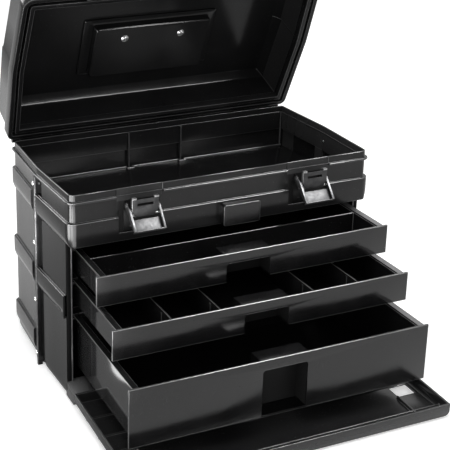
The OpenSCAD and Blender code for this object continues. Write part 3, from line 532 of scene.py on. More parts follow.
def front_shell():
    """Front half of the case: the upper band all round, then the side walls and posts below it."""
    bm = bmesh.new()
    seam_channel = ((-SEAM, CHANNEL), (-CHANNEL_Y, CHANNEL), (-CHANNEL_Y - 1.6, 0.0))
    stations = []
    for sx in (-1, 1):
        row = []
        for y, sink in seam_channel + ((-60.0, 0.0), (-100.0, 0.0)):
            sec = soften(panel_section(1, 1, 0.0, 1, sink))
            row.append([(*side_point(sx, y, o), z) for o, z in sec])
        for a in ARC:
            f = max(0.0, min(1.0, (a - 11) / 56))
            sec = soften(panel_section(1, 1, f, 1 - f))
            row.append([(*corner_point(sx, -1, a, o), z) for o, z in sec])
        for dx, lip, belt in ((LIP_RECESS + 0.5, 1, 1), (LIP_RECESS - 0.5, 0, 1),
                              (BELT_RECESS + 0.5, 0, 1), (BELT_RECESS - 0.5, 0, 0),
                              (0.5 - BELT_RECESS, 0, 0), (-0.5 - BELT_RECESS, 0, 1),
                              (0.5 - LIP_RECESS, 0, 1), (-0.5 - LIP_RECESS, 1, 1)):
            row.append(band_ring(sx * (LATCH_X + dx), lip, belt))
        stations += row if sx < 0 else row[::-1]
        # a bead in the painted highlight at the right end of each lip recess
        upright(bm, sx * LATCH_X + LIP_RECESS - 0.2, -HD - 0.1, LIP_Z + 0.3, CASE_H - 0.6, 0.7)
    skin(bm, stations, painted_highlight=rounded(panel_section(1, 1, 1.0, 0)))
    # side walls from the seam to the posts
    for sx, side in SIDES:
        rows = []
        for y, sink in seam_channel + ((-60.0, 0.0), (POST_Y + 9, 0.0), (POST_Y + 7.5, 0.0), (POST_Y, 0.0)):
            flat = 1.0 if y < POST_Y + 8 else 0.0
            pts = wall_profile(BELT_TOPS[1:2], flat, PANEL_Z, 1.0, sink) + hollow(BELT_TOPS[1]) + FOOT
            rows.append([(*side_point(sx, y, o), z) for o, z in soften(pts)])
        skin(bm, rows, painted_highlight=rounded(pts))
        # the post in near-black painted shade
        post = bmesh.new()
        side_box(post, sx, OPEN_HW, HW - 0.8, POST_Y - 0.3, POST_Y + 6, 4, PANEL_Z + 1, 0.9, 3)
        finish_piece("case_post_" + side, post, "case", "case_plastic", mat=post_painted_shade_mat, edge=post_painted_shade_mat)
        # a bead in the painted highlight along each post's inner front edge
        upright(bm, sx * (OPEN_HW + 0.4), POST_Y - 0.9, 29, PANEL_Z + 0.5, 1.2)
    seam_x, front_x = SEAM_HW - FLOOR_IN + 1, HW - 22
    plate = [(-seam_x, -SEAM), (-front_x, POST_Y + 1), (front_x, POST_Y + 1), (seam_x, -SEAM)]
    prism(bm, plate, "z", 0.2, FLOOR_T - 0.2)
    # underside of the panel and its return
    box(bm, -HW + 2, HW - 2, -HD + 2, POST_Y, PANEL_Z + 0.3, PANEL_Z + WALL, 0.5)
    box(bm, -HW + 3, HW - 3, POST_Y - WALL, POST_Y, PANEL_Z + 0.3, DECK_Z - 3.1, 0.5)
    seam_flange(bm, -1)
    light_side(bm, DECK_Z)
    finish_piece("case_front", bm, "case", "case_plastic", ("front_shell",), more=(inner_painted_light_mat,))


ARM_X, ARM_HW, SILL_Z = (-210.0, -70.0, 70.0, 210.0), 7.5, 28.3


def base_nose():
    """Base ahead of the posts, with the cheeks and slots of the cover's hinge arms."""
    bm = bmesh.new()
    back = [(POST_Y + 6, 2), (POST_Y + 6, SILL_Z), (POST_Y, SILL_Z)]
    edges = [-HW] + [x + s * ARM_HW for x in ARM_X for s in (-1, 1)] + [HW]
    for a, b in zip(edges[::2], edges[1::2]):
        prism(bm, back + [(-135, 21), (-142, 15), (-143, 12), (-134, 2)], "x", a, b, 0.8)
    for x in ARM_X:
        prism(bm, back + [(-118, 25.9), (-118, 2)], "x", x - ARM_HW - 0.1, x + ARM_HW + 0.1, 0.5)
    # painted light: the base ahead of the posts takes a lighter plastic where the drawers shade it
    finish_piece("case_base_front", bm, "case", "case_plastic", mat=sill_painted_light_mat)


# ---- lid --------------------------------------------------------------------------

LID_IN_Z0, LID_IN_Z1, LID_IN_TOP = 342.0, 393.0, 405.2     # inner wall of the lid and its ceiling
HINGE = Matrix.Translation((0, BARREL_Y, BARREL_Z))
LID_TURN = HINGE @ Matrix.Rotation(-math.radians(LID_OPEN), 4, "X") @ HINGE.inverted()
# rings of the handle pocket: how far they lie outside its half width, back and front, and their height
POCKET_OUTSIDE = [(d - WALL, d - WALL, d - WALL, z) for d, z in
                  ((0, LID_TOP), (-0.6, LID_TOP - 0.7), (-1.0, POCKET_Z + 1.5), (-2.4, POCKET_Z))]
POCKET_INSIDE = [(17, 5, 9, 405.4), (17, 5, 9, 402.0), (15.6, 3.6, 7.6, 400.9), (3.5, 2.5, 2.5, 400.9),
                 (1.5, 1.0, 1.0, 399.9), (0.4, 0.2, 0.4, 388.2), (-1.2, -1.4, -1.2, 386.4), (-4, -4, -4, 386.2)]


def lid_section(front):
    """Open profile from the middle of the outer top, down to the skirt and up the inside;
    front is 1 in the front half, which is narrower outside and thicker inside, and 0 in the rear half."""
    step_out, step_in = 1.6 * (1 - front), 2.4 * front
    out = [(-16, LID_TOP, 0)]
    for a in (90, 72, 54, 36, 18, 0):
        a = math.radians(a)
        out.append((LID_OUT - LID_BEVEL * (1 - math.cos(a)) + step_out, LID_TOP - LID_BEVEL * (1 - math.sin(a)), 0))
    out += [(LID_OUT + step_out, LID_Z0 + SKIRT_H, 0.6), (SKIRT_OUT, LID_Z0 + SKIRT_H, 1.5),
            (SKIRT_OUT, LID_Z0, 1.2), (1.6, LID_Z0, 0.5), (1.6, 338.6, 0.5), (-3.6, 338.6, 0.5), (-3.6, LID_Z0, 0.5),
            (-10.5, LID_Z0, 0.9), (-10.5, 341.0, 0.8), (-4 - step_in, 341.0, 1.0),
            (-4 - step_in, 393.5, 1.4), (-15.5, LID_IN_TOP, 1.0), (-19, LID_IN_TOP, 0)]
    return out


def lid_shell():
    """The lid, drawn closed and turned open, with the pocket for its handle."""
    bm = bmesh.new()
    stations = []
    for sx, sy in ((1, -1), (1, 1), (-1, 1), (-1, -1)):
        section = soften(lid_section(1 if sy < 0 else 0))
        radius, seam = (9.0, -2.0) if sy < 0 else (2.5, 1.2)
        arc = [[(*corner_point(sx, sy, a, o, radius), z) for o, z in section] for a in ARC]
        sides = [[(*side_point(sx, y, o), z) for o, z in section] for y in (sy * 60.0, seam)]
        stations += sides[::-1] + arc if sx == sy else arc[::-1] + sides
    # 1, the painted highlight, on the outer and rim edges, 3, the darker painted shade, on the dull underside of the
    # rim
    corners = lid_section(0)
    painted_highlight = []
    for (o, z, r), (_, z_next, _) in zip(corners, corners[1:] + corners[:1]):
        painted_highlight += [1 if o > -3 or z < 345 else 0] * (ROUND_STEPS if r > 0 else 0)
        painted_highlight += [3 if z == z_next == LID_Z0 else 0]
    rows = [[bm.verts.new(p) for p in ring] for ring in stations]
    n = len(rows[0])
    for r0, r1 in zip(rows, rows[1:] + rows[:1]):
        for k in range(n - 1):
            bm.faces.new((r0[k], r0[k + 1], r1[k + 1], r1[k])).material_index = painted_highlight[k]
    # outer and inner top, each as a frame round the pocket, in four faces that meet in the corners
    q = len(ARC)
    marks = [q // 2 + shift for shift in (0, q + 4, 2 * q + 4, 3 * q + 8)]
    for k, hw, y0, y1 in ((0, POCKET_HW - WALL, POCKET_Y0 - WALL, POCKET_Y1 + WALL),
                          (n - 1, POCKET_HW + 16, POCKET_Y0 + 4, POCKET_Y1 - 8)):
        z = rows[0][k].co.z
        inner = [bm.verts.new(p) for p in ((hw, y1, z), (hw, y0, z), (-hw, y0, z), (-hw, y1, z))]
        loop = [r[k] for r in rows]
        for i in range(4):
            a, b = marks[i], marks[(i + 1) % 4]
            span = loop[a:b + 1] if b > a else loop[a:] + loop[:b + 1]
            bm.faces.new(span + [inner[(i + 1) % 4], inner[i]])
    # pocket: opening lip outside, stepped box inside
    for levels, r in ((POCKET_OUTSIDE, 2), (POCKET_INSIDE, 3)):
        rings = []
        for dw, d_back, d_front, z in levels:
            hw = POCKET_HW + dw
            outline = round_rect(-hw, hw, POCKET_Y1 - d_front, POCKET_Y0 + d_back, r, 270)
            rings.append([bm.verts.new((x, y, z)) for x, y in outline])
        for r0, r1 in zip(rings, rings[1:]):
            join_rings(bm, r0, r1)
        bm.faces.new(rings[-1])
    # inner corners and the step where the two halves of the lid meet, as beads in the painted highlight, with a thin
    # bar of painted shade along the step
    for s, side in SIDES:
        upright(bm, s * (HW - BEAD_IN), HD - BEAD_IN, LID_IN_Z0, LID_IN_Z1, 0.9)
        rod(bm, (s * (HW - 15), HD - 15.5, 404.6), (s * (HW - 5.5), HD - 5.5, 394), 0.7)
        upright(bm, s * (SEAM_HW - 6.2), -2.4, 341.5, 393.3, 0.6)
        rod(bm, (s * (SEAM_HW - 6.4), -2.4, 393.3), (s * (SEAM_HW - 17.5), -2.4, 404.9), 0.6)
        step = bmesh.new()
        x0, x1 = s * (SEAM_HW - 4.4), s * (SEAM_HW - 3.6)
        prism(step, [(x0, -1.4), (x0, 2.4), (x1, 2.4), (x1, -1.4)], "z", LID_IN_Z0, LID_IN_Z1)
        finish_piece("lid_step_" + side, step, "lid", "lid_plastic", turn=LID_TURN, mat=painted_shade_mat)
    light_side(bm, LID_IN_Z0)
    finish_piece("lid_moulding", bm, "lid", "lid_plastic", ("lid_shell",), turn=LID_TURN, more=(inner_painted_light_mat, rim_painted_shade_mat))


# ---- drawers and runners ---------------------------------------------------------------

DRAWERS = ((-205.0, 197.2, 243.2), (-262.0, 143.5, 189.5), (-318.0, 40.5, 130.5))
DRAWER_L, FRONT_HW, BODY_HW, FLANGE_HW, FLANGE_IN, SHEET = 228.0, 240.6, 226.5, 234.2, 224.6, 2.6
NOTCH_HW, NOTCH_DROP, POCKET_D, HOOD_DROP = 36.0, 16.5, 32.0, 2.5
DIVIDERS, DIVIDER_SPAN = (-0.655, -0.318, 0.355, 0.69), 228.0
DIVIDER_Y = -138.0
RUNNER_Y0, RUNNER_Y1 = POST_Y + 10, 119.8


def drawer(i):
    """Drawer i: front with a finger notch and the hood behind it, walls with flanges, and bottom."""
    bm = bmesh.new()
    y0, z0, z1 = DRAWERS[i]
    y1, zn, yb = y0 + DRAWER_L, z1 - NOTCH_DROP, y0 + POCKET_D
    front = [(-FRONT_HW, z0), (-NOTCH_HW, z0), (-NOTCH_HW, zn - 3), (-NOTCH_HW + 3, zn), (NOTCH_HW - 3, zn),
             (NOTCH_HW, zn - 3), (NOTCH_HW, z0), (FRONT_HW, z0), (FRONT_HW, z1), (-FRONT_HW, z1)]
    prism(bm, front, "y", y0, y0 + 3.2, 0.95, 3)
    for s in (-1, 1):
        side_box(bm, s, FLANGE_IN, FLANGE_HW, y0 + 2.6, y1, z1 - 3, z1 - 0.2, 0.6)
        side_box(bm, s, BODY_HW - SHEET, BODY_HW, y0 + 2.4, y1, z0, z1 - 2.8, 0.5)
        side_box(bm, s, NOTCH_HW, BODY_HW - 0.3, y0 + 2.4, y1, z0 + 0.1, z0 + SHEET, 0.3)
        side_box(bm, s, NOTCH_HW, NOTCH_HW + SHEET, y0 + 2.4, yb, z0 + 0.1, z1 - HOOD_DROP - 0.6, 0.4)
        if i == 1:
            # guides on both sides of each divider
            dividers = DIVIDERS[:2] if s < 0 else DIVIDERS[2:]
            for x in [d * DIVIDER_SPAN + k * 1.9 for k in (-1, 1) for d in dividers]:
                for y in (yb + 1, y1 - SHEET - 3.2):
                    box(bm, x - 0.7, x + 0.7, y, y + 3.2, z0 + 2, z1 - 6, 0.3)
    hood, hood_z = NOTCH_HW + SHEET, z1 - HOOD_DROP
    box(bm, -NOTCH_HW - 1, NOTCH_HW + 1, yb - 0.5, y1, z0 + 0.1, z0 + SHEET, 0.3)
    box(bm, -BODY_HW + 0.2, BODY_HW - 0.2, y1 - SHEET, y1 - 0.1, z0 + 0.2, z1 - 0.3, 0.6)
    box(bm, -hood, hood, yb - SHEET, yb, z0 + 0.1, hood_z, 0.7)
    box(bm, -hood, hood, y0 + 2.4, yb, hood_z - SHEET, hood_z, 1.0, 3)
    if i == 0:
        # lengthwise divider behind the front, with beads in the painted highlight along its top and at its ends
        box(bm, -BODY_HW + 1, BODY_HW - 1, DIVIDER_Y - 0.9, DIVIDER_Y + 0.9, z0 + 1, z1 - 3.2, 0.5)
        rod(bm, (-BODY_HW + 3, DIVIDER_Y - 0.6, z1 - 3.4), (BODY_HW - 3, DIVIDER_Y - 0.6, z1 - 3.4), 0.7)
        for s in (-1, 1):
            upright(bm, s * (FLANGE_IN - 0.6), DIVIDER_Y - 1.2, z0 + 2, z1 - 3.4, 0.8)
    # raised bar inside the front, under its upper edge
    box(bm, -FRONT_HW + 10, FRONT_HW - 10, y0 + 3.0, y0 + 3.9, z1 - 3.4, z1 - 1.4, 0.4)
    # painted light and shade: the outer sides take a lighter plastic, the pocket behind the notch painted shade, the
    # right flange's top the painted highlight; the notch and hood edges keep the plain plastic
    for f in bm.faces:
        c = f.calc_center_median()
        off, inside = abs(c.x), c.y > y0 + 4
        notch_edge = c.y < y0 + 3.3 and abs(off - NOTCH_HW) < 4 and c.z < z1 - 4
        hood_edge = off < NOTCH_HW + 3 and c.y > y0 + 3.3 and c.z > z1 - 8
        if BODY_HW - 0.1 < off < BODY_HW + 0.1 and inside:
            f.material_index = 2
        elif off < NOTCH_HW + 0.2 and y0 + 3.3 < c.y < yb - SHEET + 0.2 and c.z < hood_z - SHEET + 0.2:
            f.material_index = 3
        elif c.x > FLANGE_IN and c.z > z1 - 0.3 and inside:
            f.material_index = 1
        elif notch_edge or hood_edge:
            f.material_index = 0
    finish_piece(f"drawer_{i + 1}_piece", bm, f"drawer_{i + 1}", "drawer_plastic", (f"drawer_{i + 1}",), 20,
                 edge=drawer_painted_highlight_mat, more=(drawer_side_painted_light_mat, painted_shade_mat))


def runner(s, side):
    """Plate on the side wall with two shelves to each drawer, under and over its flange."""
    bm = bmesh.new()
    side_box(bm, s, 242.6, 246.6, RUNNER_Y0, RUNNER_Y1, 17.1, 262.9, 0.4)
    for _, _, z1 in DRAWERS:
        for z in (z1 - 6.2, z1 + 0.8):
            side_box(bm, s, 227.9, 242.8, RUNNER_Y0, RUNNER_Y1, z, z + 2.8, 0.4)
    finish_piece("runner_" + side + "_piece", bm, "case", "fittings_plastic", ("runner_" + side,))


# ---- joint strips -------------------------------------------------------------------

def joint_strip(sx, side):
    """Folded strip: a nose over the seam and a flat foot behind it that stands on the rear wall."""
    def at(*points):
        return [side_point(sx, y, o) for y, o in points]
    top = LIP_Z - LIP_T - 0.6
    bm, crest = bmesh.new(), bmesh.new()
    nose = (-2.9, 4.2), (-1.9, 5.0), (1.1, 5.0), (3.9, 4.4)
    prism(bm, at((-2.9, -0.4), *nose, (5.7, 2.6), (6.5, 1.7), (FOOT_Y, 1.7), (FOOT_Y, 0.15),
                 (0.8, 0.15), (0.8, -0.4)), "z", 14.0, top, 0.5)
    # a bright crest along the nose, a painted highlight
    prism(crest, at((-2.7, 4.0), (-2.5, 5.0), (-2.0, 5.3), (-1.4, 5.3), (-0.9, 4.9), (-0.9, 4.0)), "z", 9.0, top, 0.3)
    finish_piece("strip_crest_" + side, crest, "case", "strip_metal", mat=crest_painted_highlight_mat)
    # rounded lower end, in slices that narrow towards the middle of the nose
    steps, middle, end_z, end_h = 8, 0.5, 14.2, 13.4
    outline = (-2.9, -3.0), *nose, (6.5, 1.7), (FOOT_Y, 1.7), (FOOT_Y, -3.0)
    for k in range(steps):
        a0, a1 = math.pi / 2 * k / steps, math.pi / 2 * (k + 1) / steps
        w = 1 - 0.82 * (1 - math.cos((a0 + a1) / 2)) - 0.05
        z1, z0 = end_z - end_h * math.sin(a0), end_z - end_h * math.sin(a1)
        prism(bm, at(*((middle + (y - middle) * w, o) for y, o in outline)), "z", z0 - 0.05, z1)
    finish_piece("joint_strip_" + side + "_piece", bm, "case", "strip_metal", ("joint_strip_" + side,))


def dome(bm, centre, axis, r, h, washer=0.0):
    """A domed rivet head, on a thin washer if it is given one."""
    m = Matrix.Translation(centre) @ Vector((0, 0, 1)).rotation_difference(Vector(axis)).to_matrix().to_4x4()
    foot, base = -0.6, 0.6 if washer else 0.0
    prof = [(r, foot)]
    if washer:
        prof = [(r + washer, foot), (r + washer, 0.35), (r + washer - 0.3, base), (r, base)]
    prof += [(r * math.cos(a), base + h * math.sin(a)) for a in map(math.radians, (8, 25, 42, 58, 74))]
    rings = [[bm.verts.new(m @ Vector((rr * math.cos(a), rr * math.sin(a), z))) for a in turns(24)] for rr, z in prof]
    for r0, r1 in zip(rings, rings[1:]):
        join_rings(bm, r0, r1)
    bm.faces.new(rings[-1])
    bm.faces.new(rings[0][::-1])


def rivets():
    """Rivet heads of the joint strips and of the handle's brackets."""
    bm = bmesh.new()
    for sx in (-1, 1):
        for z in (306.0, 207.5, 109.0, 14.0):
            x, y = side_point(sx, 14.0, 1.6)
            dome(bm, (x, y, z), (sx, 0.04, 0), 3.7, 3.0)
        # tail of the upper seam screw inside the wall
        dome(bm, (sx * (SEAM_HW - WALL + 0.3), -3.0, 311.5), (-sx, 0, 0), 1.9, 1.6)
    finish_piece("strip_rivets_piece", bm, "case", "pin_steel", ("strip_rivets",))
    bm = bmesh.new()
    for s in (-1, 1):
        dome(bm, (s * 51.0, POCKET_Y1 + 22, POCKET_Z - 3.1), (0, 0, -1), 5.2, 2.2, 1.2)
    finish_piece("handle_rivets_piece", bm, "lid", "pin_steel", ("handle_rivets",), turn=LID_TURN)


# ---- draw latches ----------------------------------------------------------------------

LATCH_Y, LATCH_Z, LEVER_OPEN, THROW = -136.0, 312.3, 40.0, 16.0
LEVER_L, LEVER_X0, LEVER_X1 = 43.0, 23.7, 25.2


def latch_base(x, side):
    """Base plate with the ears that carry the lever; behind it a dark sheet of painted shade in the recess and a
    lighter matt field of painted light above.
    """
    bm = bmesh.new()
    box(bm, x - 25.5, x + 25.5, -129.7, -128.2, 271.5, 304, 0.3)
    for k in (-1, 1):
        x0, x1 = sorted((x + k * 21.9, x + k * 23.3))
        prism(bm, [(-128.2, 301), (-128.2, 317), (-134, 316.8), (-138.4, 315.4), (-139.9, LATCH_Z),
                   (-138.4, 309.0), (-129.6, 301)], "x", x0, x1, 0.3)
    finish_piece("latch_base_" + side + "_piece", bm, "case", "latch_steel", ("latch_base_" + side,), mat=hinge_mat)
    recess = bmesh.new()
    # a dark sheet of painted shade in the latch recess
    box(recess, x - 32.5, x + 32.5, -128.35, -127.8, 263, 318, 0.0)
    field, x0, x1 = bmesh.new(), x - 36, x + 36
    box(field, x0, x1, -128.3, -127.8, 318, LIP_Z + 0.1, 0.0)
    box(field, x0, x1, -127.4, -126.9, LIP_Z - 0.2, CASE_H - 1.2, 0.0)
    # a bead in the painted highlight where the lip line runs on
    rod(field, (x0, -128.3, LIP_Z - 0.3), (x1, -128.3, LIP_Z - 0.3), 0.5)
    finish_piece("latch_field_" + side, field, "case", "case_plastic", mat=latch_field_painted_light_mat)
    finish_piece("latch_recess_" + side, recess, "case", "case_plastic", mat=painted_shade_mat)


def disc(r, a0, a1, n):
    """Points on a circle round the origin, from one angle to the other."""
    return [polar(0, 0, r, a0 + (a1 - a0) * k / n) for k in range(n + 1)]


def lever(x, side):
    """Latch lever: two arms with flanges and rivet heads, a web and a finger edge. Origin at its pivot."""
    bm = bmesh.new()
    arm = disc(4.5, 190, 0, 12) + [(3.4, -8), (1.2, -20), (-1.0, -33), (-3.4, -LEVER_L + 1), (-7, -LEVER_L), (-7, -6)]
    for k in (-1, 1):
        prism(bm, arm, "x", *sorted((k * LEVER_X0, k * LEVER_X1)), 0.35)
        f0, f1 = k * (LEVER_X1 - 3.7), k * LEVER_X1
        flange = bmesh.new()
        prism(flange, [(f0, -LEVER_L), (f1, -LEVER_L), (f1, -6.0), (f0, -9.0)], "y", -7.3, -5.9, 0.4)
        # the flanges take the lighter steel of the painted highlight
        for f in flange.faces:
            f.material_index = 1
        merge(bm, flange)
        dome(bm, (k * LEVER_X1, 0, 0), (k, 0, 0), 2.6, 0.9)
    box(bm, -LEVER_X0 - 0.3, LEVER_X0 + 0.3, -2.2, -0.6, -LEVER_L + 0.2, -THROW - 7.5, 0.4)
    box(bm, -LEVER_X1, LEVER_X1, -7.3, -0.6, -LEVER_L - 0.2, -LEVER_L + 1.2, 0.4)
    turn = Matrix.Translation((x, LATCH_Y, LATCH_Z)) @ Matrix.Rotation(-math.radians(LEVER_OPEN), 4, "X")
    finish_piece("latch_lever_" + side + "_piece", bm, "lever_" + side, "latch_steel", ("latch_lever_" + side,),
                 turn=turn, edge=arm_painted_highlight_mat)


def claw(x, side):
    """Latch claw: a slotted plate with two hooks and the barrel round its pin. Origin at its pin."""
    a = math.radians(LEVER_OPEN)
    cy, cz = LATCH_Y - THROW * math.sin(a), LATCH_Z - THROW * math.cos(a)
    bm = bmesh.new()
    hw, h = 21.0, 27.9
    front = [(-hw + 5, 0), (hw - 5, 0), (hw, 8), (hw, h), (hw - 7.0, h), (hw - 7.4, h - 3.0),
             (-hw + 7.4, h - 3.0), (-hw + 7.0, h), (-hw, h), (-hw, 8)]
    t = bmesh.new()
    prism(t, front, "y", -3.6, -2.0)
    prism_cut(t, -12.5, 12.5, h - 13.0, h - 9.0)
    round_edges(t, 0.35)
    merge(bm, t)
    for k in (-1, 1):
        side_box(bm, k, hw - 0.8, hw, -3.4, 1.2, 9, h - 0.2, 0.25)
        side_box(bm, k, hw - 6.8, hw, -3.9, 1.5, h - 2.95, h, 0.5)
    # painted highlight: only the hooks and the left edge take the bright steel
    for f in bm.faces:
        c = f.calc_center_median()
        hook, left_edge = c.z > h - 3.5 and abs(c.x) > hw - 7, c.x < -hw + 0.4 and c.z > 9
        f.material_index = 1 if hook or left_edge else 0
    prism(bm, disc(3.0, 0, 345, 15), "x", -hw + 5, hw - 5, 0.3)
    finish_piece("latch_claw_" + side + "_piece", bm, "claw_" + side, "latch_steel", ("latch_claw_" + side,),
                 turn=Matrix.Translation((x, cy, cz)), mat=claw_mat, edge=claw_painted_highlight_mat)


def prism_cut(bm, x0, x1, z0, z1):
    """Opens a rectangular slot in a flat plate drawn along Y, by bridging the two faces."""
    caps = sorted((f for f in bm.faces if abs(f.normal.y) > 0.99), key=lambda f: f.calc_center_median().y)
    ys = [f.calc_center_median().y for f in caps]
    loops = []
    for f, y in zip(caps, ys):
        inner = [bm.verts.new(p) for p in ((x0, y, z0), (x1, y, z0), (x1, y, z1), (x0, y, z1))]
        outer = list(f.verts)
        bm.faces.remove(f)
        pairs = [pair for ring in (inner, outer) for pair in zip(ring, ring[1:] + ring[:1])]
        edges = [bm.edges.get(pair) or bm.edges.new(pair) for pair in pairs]
        bmesh.ops.triangle_fill(bm, use_beauty=True, edges=edges)
        drop = [g for g in bm.faces if all(v in inner for v in g.verts)]
        bmesh.ops.delete(bm, geom=drop, context="FACES_ONLY")
        loops.append(inner)
    join_rings(bm, *loops)
    bmesh.ops.dissolve_limit(bm, angle_limit=math.radians(1), verts=bm.verts, edges=bm.edges)
    bmesh.ops.recalc_face_normals(bm, faces=bm.faces)


# ---- catch and beads --------------------------------------------------------------------

CATCH_X, CATCH_HW, CATCH_Z0, CATCH_Z1, CATCH_Y = 20.0, 31.0, 257.8, 291.2, -146.0


def catch():
    """Sliding catch on the belt: a rounded block with grip ribs on its face."""
    bm = bmesh.new()
    stations = []
    for y, inset in ((-HD - BELT_OUT - 0.1, 0.0), (CATCH_Y + 1.2, 0.0), (CATCH_Y + 0.6, 0.15),
                     (CATCH_Y + 0.2, 0.5), (CATCH_Y, 1.1), (CATCH_Y, 5.0)):
        hw, r = CATCH_HW - inset, max(4.0 - inset, 1.0)
        outline = round_rect(CATCH_X - hw, CATCH_X + hw, CATCH_Z0 + inset, CATCH_Z1 - inset, r)
        stations.append([(x, y, z) for x, z in outline])
    skin(bm, stations)
    # painted highlight: the chamfer round the face takes the lighter edge plastic
    for f in bm.faces:
        f.material_index = 1 if CATCH_Y + 0.02 < f.calc_center_median().y < CATCH_Y + 1.1 else 0
    for k in range(5):
        x = CATCH_X + 2 + 5.4 * k
        rib = [(x - 1.6, CATCH_Y + 0.4), (x, CATCH_Y - 0.1), (x + 1.6, CATCH_Y + 0.4)]
        prism(bm, rib, "z", CATCH_Z0 + 4, CATCH_Z1 - 4)
    finish_piece("cover_catch_piece", bm, "cover_catch", "fittings_plastic", ("cover_catch",), angle=40)


def beads_with_painted_highlight():
    """Beads in the painted highlight along the compartment floor's rear edge round the two wall ribs, the rear
    corners, the ribs and the ledges along the side walls. The rear hinge's rod shows in the middle and at the ends."""
    bm = bmesh.new()
    back, rib, z, edge, rib_in, rib_out = 121.0, 114.5, DECK_Z + 0.3, 246.0, RIB_X - 5.5, RIB_X + 5.5
    half = [(rib_in, back), (rib_in, rib), (rib_out, rib), (rib_out, back), (edge, back)]
    path = [(-x, y) for x, y in half[::-1]] + half
    for a, b in zip(path, path[1:]):
        rod(bm, (*a, z), (*b, z), 1.3)
    for s in (-1, 1):
        upright(bm, s * (HW - BEAD_IN), HD - BEAD_IN, DECK_Z, LIP_Z, 1.2)
        upright(bm, s * RIB_X, HD - WALL - 2.9, DECK_Z, LIP_Z - 2, 0.8)
        for y0, y1 in ((-117.0, -1.0), (-1.0, 117.0)):
            a, b = [(*side_point(s, y, -WALL - 0.2), LIP_Z - 0.1) for y in (y0, y1)]
            rod(bm, a, b, 0.65)
    for x0, x1 in ((-6, 6), (-235.5, -248.5), (235.5, 248.5)):
        rod(bm, (x0, BARREL_Y, BARREL_Z), (x1, BARREL_Y, BARREL_Z), 3.8, painted_highlight=False)
    finish_piece("beads_with_painted_highlight", bm, "case", "fittings_plastic", angle=60)


# ---- pieces with shapes of their own ------------------------------------------------------

rear_shell()
front_shell()
base_nose()
lid_shell()
catch()
beads_with_painted_highlight()
for i in range(3):
    drawer(i)
for s, side in SIDES:
    runner(s, side)
for s, side in SIDES:
    joint_strip(s, side)
rivets()
for s, side in SIDES:
    latch_base(s * LATCH_X, side)
    lever(s * LATCH_X, side)
    claw(s * LATCH_X, side)

# ---- pieces with the CAD nodes' own shapes -----------------------------------------
for node, slot, bevel, mat in (
        ("compartment_floor", "fittings_plastic", 0.5, floor_mat),
        ("hinge_leaves_case", "strip_metal", 0.2, hinge_mat), ("hinge_leaves_lid", "strip_metal", 0.2, hinge_mat),
        ("catch_base", "pin_steel", 0.2, None),
        ("keeper_left", "latch_steel", 0.3, None), ("keeper_right", "latch_steel", 0.3, None),
        ("handle_brackets", "latch_steel", 0.25, None), ("handle", "handle_plastic", 0.8, None),
        ("drawer_2_dividers", "drawer_plastic", 0.5, None), ("front_cover", "cover_plastic", 0.7, None)):
    dress(node, slot, bevel, mat)

# the nodes that stay as they are: hinge pins, screws and latch rivets are dark, the others bright
for node, ob in frame["nodes"].items():
    dark = "pins" in node or "screws" in node or node == "latch_rivets"
    ob.data.materials.clear()
    ob.data.materials.append(hinge_mat if dark else pin_mat)
    for face in ob.data.polygons:
        face.use_smooth = True

# ---- floor, light and camera ----------------------------------------------------------

def stage_floor():
    """Pale ground that is shown evenly bright and mirrored dimmer, with a darker patch of painted shade that only
    reflections see.
    """
    bm = bmesh.new()
    bmesh.ops.create_grid(bm, x_segments=1, y_segments=1, size=12.0)
    me = bpy.data.meshes.new("floor")
    bm.to_mesh(me)
    bm.free()
    ob = add_object("floor", me)
    ob.location.z = -0.0002
    m, nt, bsdf = material("floor_pale")
    bsdf.inputs["Roughness"].default_value = 0.9
    bsdf.inputs["Specular IOR Level"].default_value = 0.0
    bsdf.inputs["Emission Color"].default_value = (1, 1, 1, 1)
    path = nt.nodes.new("ShaderNodeLightPath")
    mirrored = math_node(nt, "MAXIMUM", path.outputs["Is Glossy Ray"], path.outputs["Is Transmission Ray"])
    # painted shade: a patch of floor that only reflections see is darker and glows less, so the front half of the
    # left side and the drawers mirror it darker
    place, split = nt.nodes.new("ShaderNodeTexCoord"), nt.nodes.new("ShaderNodeSeparateXYZ")
    nt.links.new(place.outputs["Object"], split.inputs[0])
    across = math_node(nt, "ADD", split.outputs["Y"], math_node(nt, "MULTIPLY", split.outputs["X"], 2.18))
    painted_shade_patch = math_node(nt, "MULTIPLY", remap(nt, across, 1, 0, -0.585, -0.5),
                     remap(nt, split.outputs["X"], 1, 0, -0.255, -0.235))
    dark = math_node(nt, "MULTIPLY", painted_shade_patch, mirrored)
    nt.links.new(mix_colour(nt, dark, (0.93, 0.93, 0.93), (0.48, 0.48, 0.48)), bsdf.inputs["Base Color"])
    far = math_node(nt, "MULTIPLY", mirrored, math_node(nt, "SUBTRACT", 0.2, math_node(nt, "MULTIPLY", painted_shade_patch, 0.16)))
    pale = math_node(nt, "MAXIMUM", math_node(nt, "MULTIPLY", path.outputs["Is Camera Ray"], 0.48), far)
    nt.links.new(pale, bsdf.inputs["Emission Strength"])
    me.materials.append(m)


def area_light(name, place, target, size, size_y, power, sheen_only=False, shape="RECTANGLE"):
    """A soft lamp the camera doesn't see; with sheen_only it makes reflections but no diffuse light."""
    data = bpy.data.lights.new(name, "AREA")
    data.shape = shape
    data.size, data.size_y, data.energy = size, size_y, power
    ob = add_object(name, data)
    ob.location = place
    ob.rotation_mode = "QUATERNION"
    ob.rotation_quaternion = (Vector(target) - Vector(place)).to_track_quat("-Z", "Y")
    ob.visible_camera = False
    ob.visible_diffuse = not sheen_only


